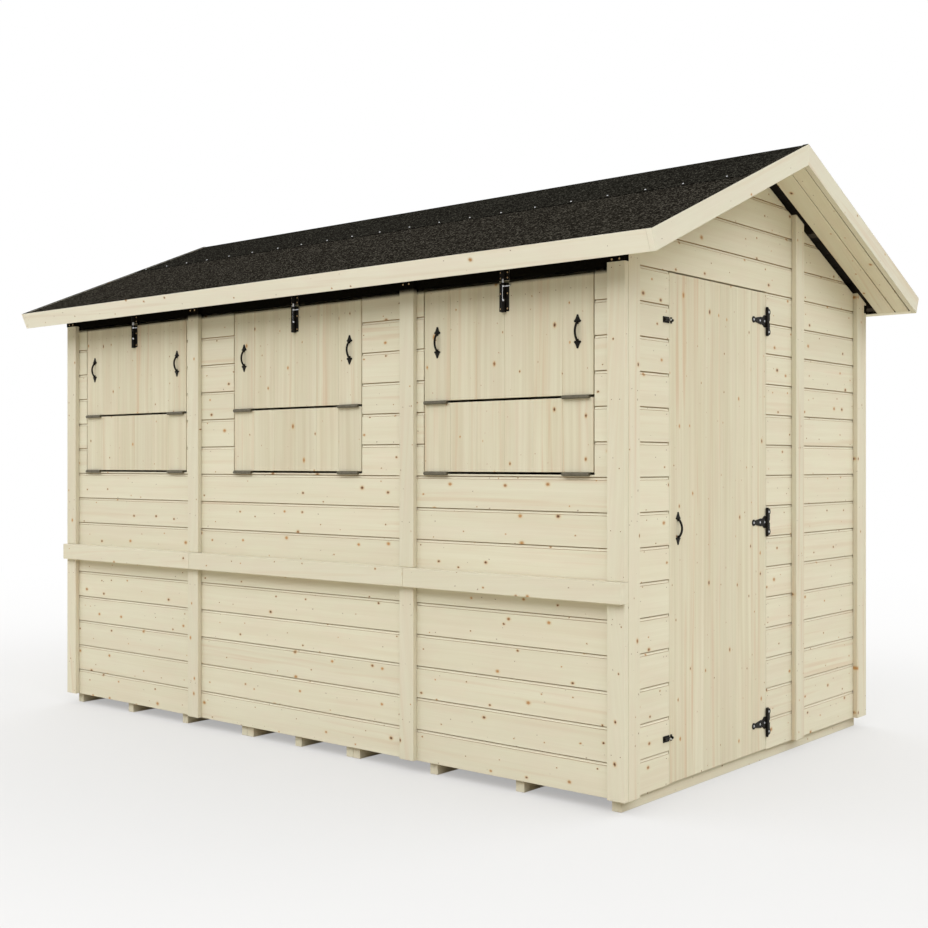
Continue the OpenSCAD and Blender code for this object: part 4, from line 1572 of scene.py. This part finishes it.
@dataclass
class HatchFixings:
    """Screws of the tower bolts, and the nails of the upper leaves."""

    plate_t: float = 0.0025
    plate_foot: float = -0.097
    bolt_rows: tuple[float, ...] = (0.009, 0.060)
    keeper_foot: float = 0.006
    keeper_rows: tuple[float, ...] = (0.009, 0.027)
    reach: float = 0.0145
    head: float = 0.0030
    any_turn: float = 1.5
    boards: int = 6
    nail_rise: float = 0.342

    def build(self) -> None:
        """Builds the fixings of the three hatches."""
        screws = Fixings("bolt_screws", Finish.SCREW)
        nails = Fixings("leaf_nails", Finish.NAIL)
        rng = random.Random(17)
        out, face = -Y_AXIS, -SHED.face_y
        for third in THIRDS:
            low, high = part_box(f"hatch_{third}_upper")
            middle, width = (low.x + high.x) / 2, (high.x - low.x) / self.boards
            rows = [self.plate_foot + z for z in self.bolt_rows]
            rows += [self.keeper_foot + z for z in self.keeper_rows]
            for row in rows:
                for x in (middle - self.reach, middle + self.reach):
                    point = Vector((x, face - self.plate_t, high.z + row))
                    screws.screw(point, out, self.head, rng.uniform(0, self.any_turn))
            for i in range(self.boards):
                for part in (0.25, 0.75):
                    x = low.x + (i + part) * width + jitter(rng, 0.004)
                    nails.nail(Vector((x, face, low.z + self.nail_rise + jitter(rng, 0.003))), out)
        screws.finish_up()
        nails.finish_up()


@dataclass
class BoardNails:
    """Nails that hold each cladding board to the studs, and each cover strip to the boards."""

    rise: float = 0.088
    inset: float = 0.016
    strip_pitch: float = 0.41
    strip_top: float = 0.065
    strip_foot: float = 0.05
    clear: float = 0.004

    def wall_rows(self, node: str, outward: Vector, nails: Fixings, rng: random.Random) -> None:
        """Nails one section of cladding at the studs of its two ends.

        Args:
            node: the section.
            outward: the way it faces.
            nails: where the heads are added.
            rng: moves each head a little.
        """
        low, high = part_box(node)
        along, face = sideways(outward), face_of(low, high, outward)
        limit = SHED.ridge_z - SHED.edge_h / math.cos(SHED.pitch)
        for place in (low.dot(along) + self.inset, high.dot(along) - self.inset):
            for row in range(int((high.z - SHED.foot_z) / SHED.cover) + 1):
                z = SHED.foot_z + row * SHED.cover + self.rise + jitter(rng, 0.004)
                point = outward * face + along * (place + jitter(rng, 0.003)) + Z_AXIS * z
                roof = limit - abs(point.y) * math.tan(SHED.pitch)
                if low.z + self.clear < z < min(high.z, roof) - self.clear:
                    nails.nail(point, outward)

    def strip_rows(self, node: str, nails: Fixings, rng: random.Random) -> None:
        """Nails every strip of one node in pairs, from its top downwards.

        Args:
            node: the strips.
            nails: where the heads are added.
            rng: moves each head a little.
        """
        for solid in islands(node):
            low, high = span(solid)
            solid.free()
            middle, size = (low + high) / 2, high - low
            across, outward = (X_AXIS, Y_AXIS) if size.x > size.y else (Y_AXIS, X_AXIS)
            outward = outward * math.copysign(1.0, middle.dot(outward))
            face = face_of(low, high, outward)
            z = high.z - self.strip_top
            while z > low.z + self.strip_foot:
                for part in (-0.25, 0.25):
                    place = middle.dot(across) + part * size.dot(across) + jitter(rng, 0.003)
                    nails.nail(outward * face + across * place + Z_AXIS * (z + jitter(rng, 0.004)), outward)
                z -= self.strip_pitch

    def build(self) -> None:
        """Builds the nails of all four walls."""
        nails = Fixings("board_nails", Finish.NAIL)
        rng = random.Random(37)
        for node, outward, _ in wall_sections():
            if node != "right_wall_over_door":
                self.wall_rows(node, outward, nails, rng)
        for node in ("corner_strips", "joint_strips"):
            self.strip_rows(node, nails, rng)
        nails.finish_up()


@dataclass
class FeltNails:
    """Clout nails along the lap of the ridge felt."""

    down: float = 0.433
    pitch: float = 0.161
    first: float = -1.635
    count: int = 21

    def build(self) -> None:
        """Builds the nails of both slopes."""
        nails = Fixings("felt_clouts", Finish.STEEL)
        rng = random.Random(29)
        for side in (-1, 1):
            outward = Vector((0, side * math.sin(SHED.pitch), math.cos(SHED.pitch)))
            for i in range(self.count):
                x = self.first + i * self.pitch + jitter(rng, 0.008)
                nails.clout(SHED.slope_point(x, self.down + jitter(rng, 0.004), side), outward)
        nails.finish_up()


def build_fixings() -> None:
    """Builds every screw and nail."""
    DoorHinges().build()
    BoltKnobs().build()
    HatchFixings().build()
    BoardNails().build()
    FeltNails().build()


# ---------------------------------------------------------------- studio


@dataclass
class Studio:
    """The pale floor, the soft light and the camera."""

    ground: Colour = (0.568, 0.555, 0.535, 1)
    bounce: Colour = (0.52, 0.48, 0.39, 1)
    sky_tint: Colour = (0.98, 1.00, 1.03, 1)
    ring: float = 3.12
    zenith: float = 0.35
    glow: float = 0.40
    fade: tuple[float, float] = (3.0, 9.0)
    ring_foot: tuple[float, float] = (0.29, 0.52)
    ring_head: tuple[float, float] = (0.70, 0.96)
    ground_r: float = 30.0
    ground_z: float = -0.0005

    def floor(self) -> None:
        """A wide disc that fades to white far from the shed."""
        mesh = bmesh.new()
        bmesh.ops.create_circle(mesh, cap_ends=True, segments=96, radius=self.ground_r)
        ground = place_object("studio_floor", mesh_data(mesh, "studio_floor"))
        ground.location.z = self.ground_z
        ground.data.materials.append(self.floor_material())

    def fresh_graph(self, block: bpy.types.ID) -> Graph:
        """Empties the shader tree of a material or world, and gives its graph."""
        block.use_nodes = True
        block.node_tree.nodes.clear()
        return Graph(block.node_tree)

    def floor_material(self) -> bpy.types.Material:
        """Pale matt paint near the shed, and plain white far from it.

        Returns:
            The material.
        """
        material = bpy.data.materials.new("studio_floor")
        g = self.fresh_graph(material)
        seen = g.seen_directly()
        paint = g.mix(seen, self.bounce, self.ground)
        matt = g.add("ShaderNodeBsdfDiffuse", {"Color": paint})
        place = g.add("ShaderNodeTexCoord").outputs["Object"]
        far = g.add("ShaderNodeVectorMath", {0: place}, operation="LENGTH").outputs["Value"]
        glow = g.add("ShaderNodeEmission", {"Color": (1, 1, 1, 1), "Strength": 1.0})
        share = g.times(g.ramp(far, *self.fade, self.glow, 1.0), seen)
        blend = g.add("ShaderNodeMixShader", {0: share, 1: matt.outputs[0], 2: glow.outputs[0]})
        g.add("ShaderNodeOutputMaterial", {"Surface": blend.outputs[0]})
        return material

    def sky(self) -> None:
        """A dome with a bright ring half way up, and plain white where it is looked at."""
        world = bpy.data.worlds.new("studio_sky")
        bpy.context.scene.world = world
        g = self.fresh_graph(world)
        height = g.parts(g.add("ShaderNodeTexCoord").outputs["Generated"])[2]
        above = g.ramp(height, *self.ring_head, self.ring, self.zenith)
        strength = g.times(above, g.ramp(height, *self.ring_foot))
        lit = g.add("ShaderNodeBackground", {"Color": self.sky_tint, "Strength": strength})
        white = g.add("ShaderNodeBackground", {"Color": (1, 1, 1, 1), "Strength": 1.0})
        blend = g.add("ShaderNodeMixShader", {0: g.seen_directly(), 1: lit.outputs[0], 2: white.outputs[0]})
        g.add("ShaderNodeOutputWorld", {"Surface": blend.outputs[0]})

    def camera(self) -> None:
        """A level camera off the door corner."""
        data = bpy.data.cameras.new("studio_camera")
        data.lens, data.sensor_width = 50.0, 36.0
        view = place_object("studio_camera", data)
        view.location = (3.6946, -4.2831, 1.0907)
        view.rotation_euler = (math.radians(90), 0, math.radians(40.05))
        bpy.context.scene.camera = view

    def build(self) -> None:
        """Builds the studio."""
        self.floor()
        self.sky()
        self.camera()
        bpy.context.scene.view_settings.view_transform = "Standard"


def main() -> None:
    """Builds the shed's finishes in order, and reports each piece."""
    logging.basicConfig(level=logging.INFO, format="%(name)s %(message)s")
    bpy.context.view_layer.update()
    Studio().build()
    build_walls()
    build_timbers()
    build_panels()
    dress_nodes()
    build_fixings()


if __name__ == "__main__":
    main()
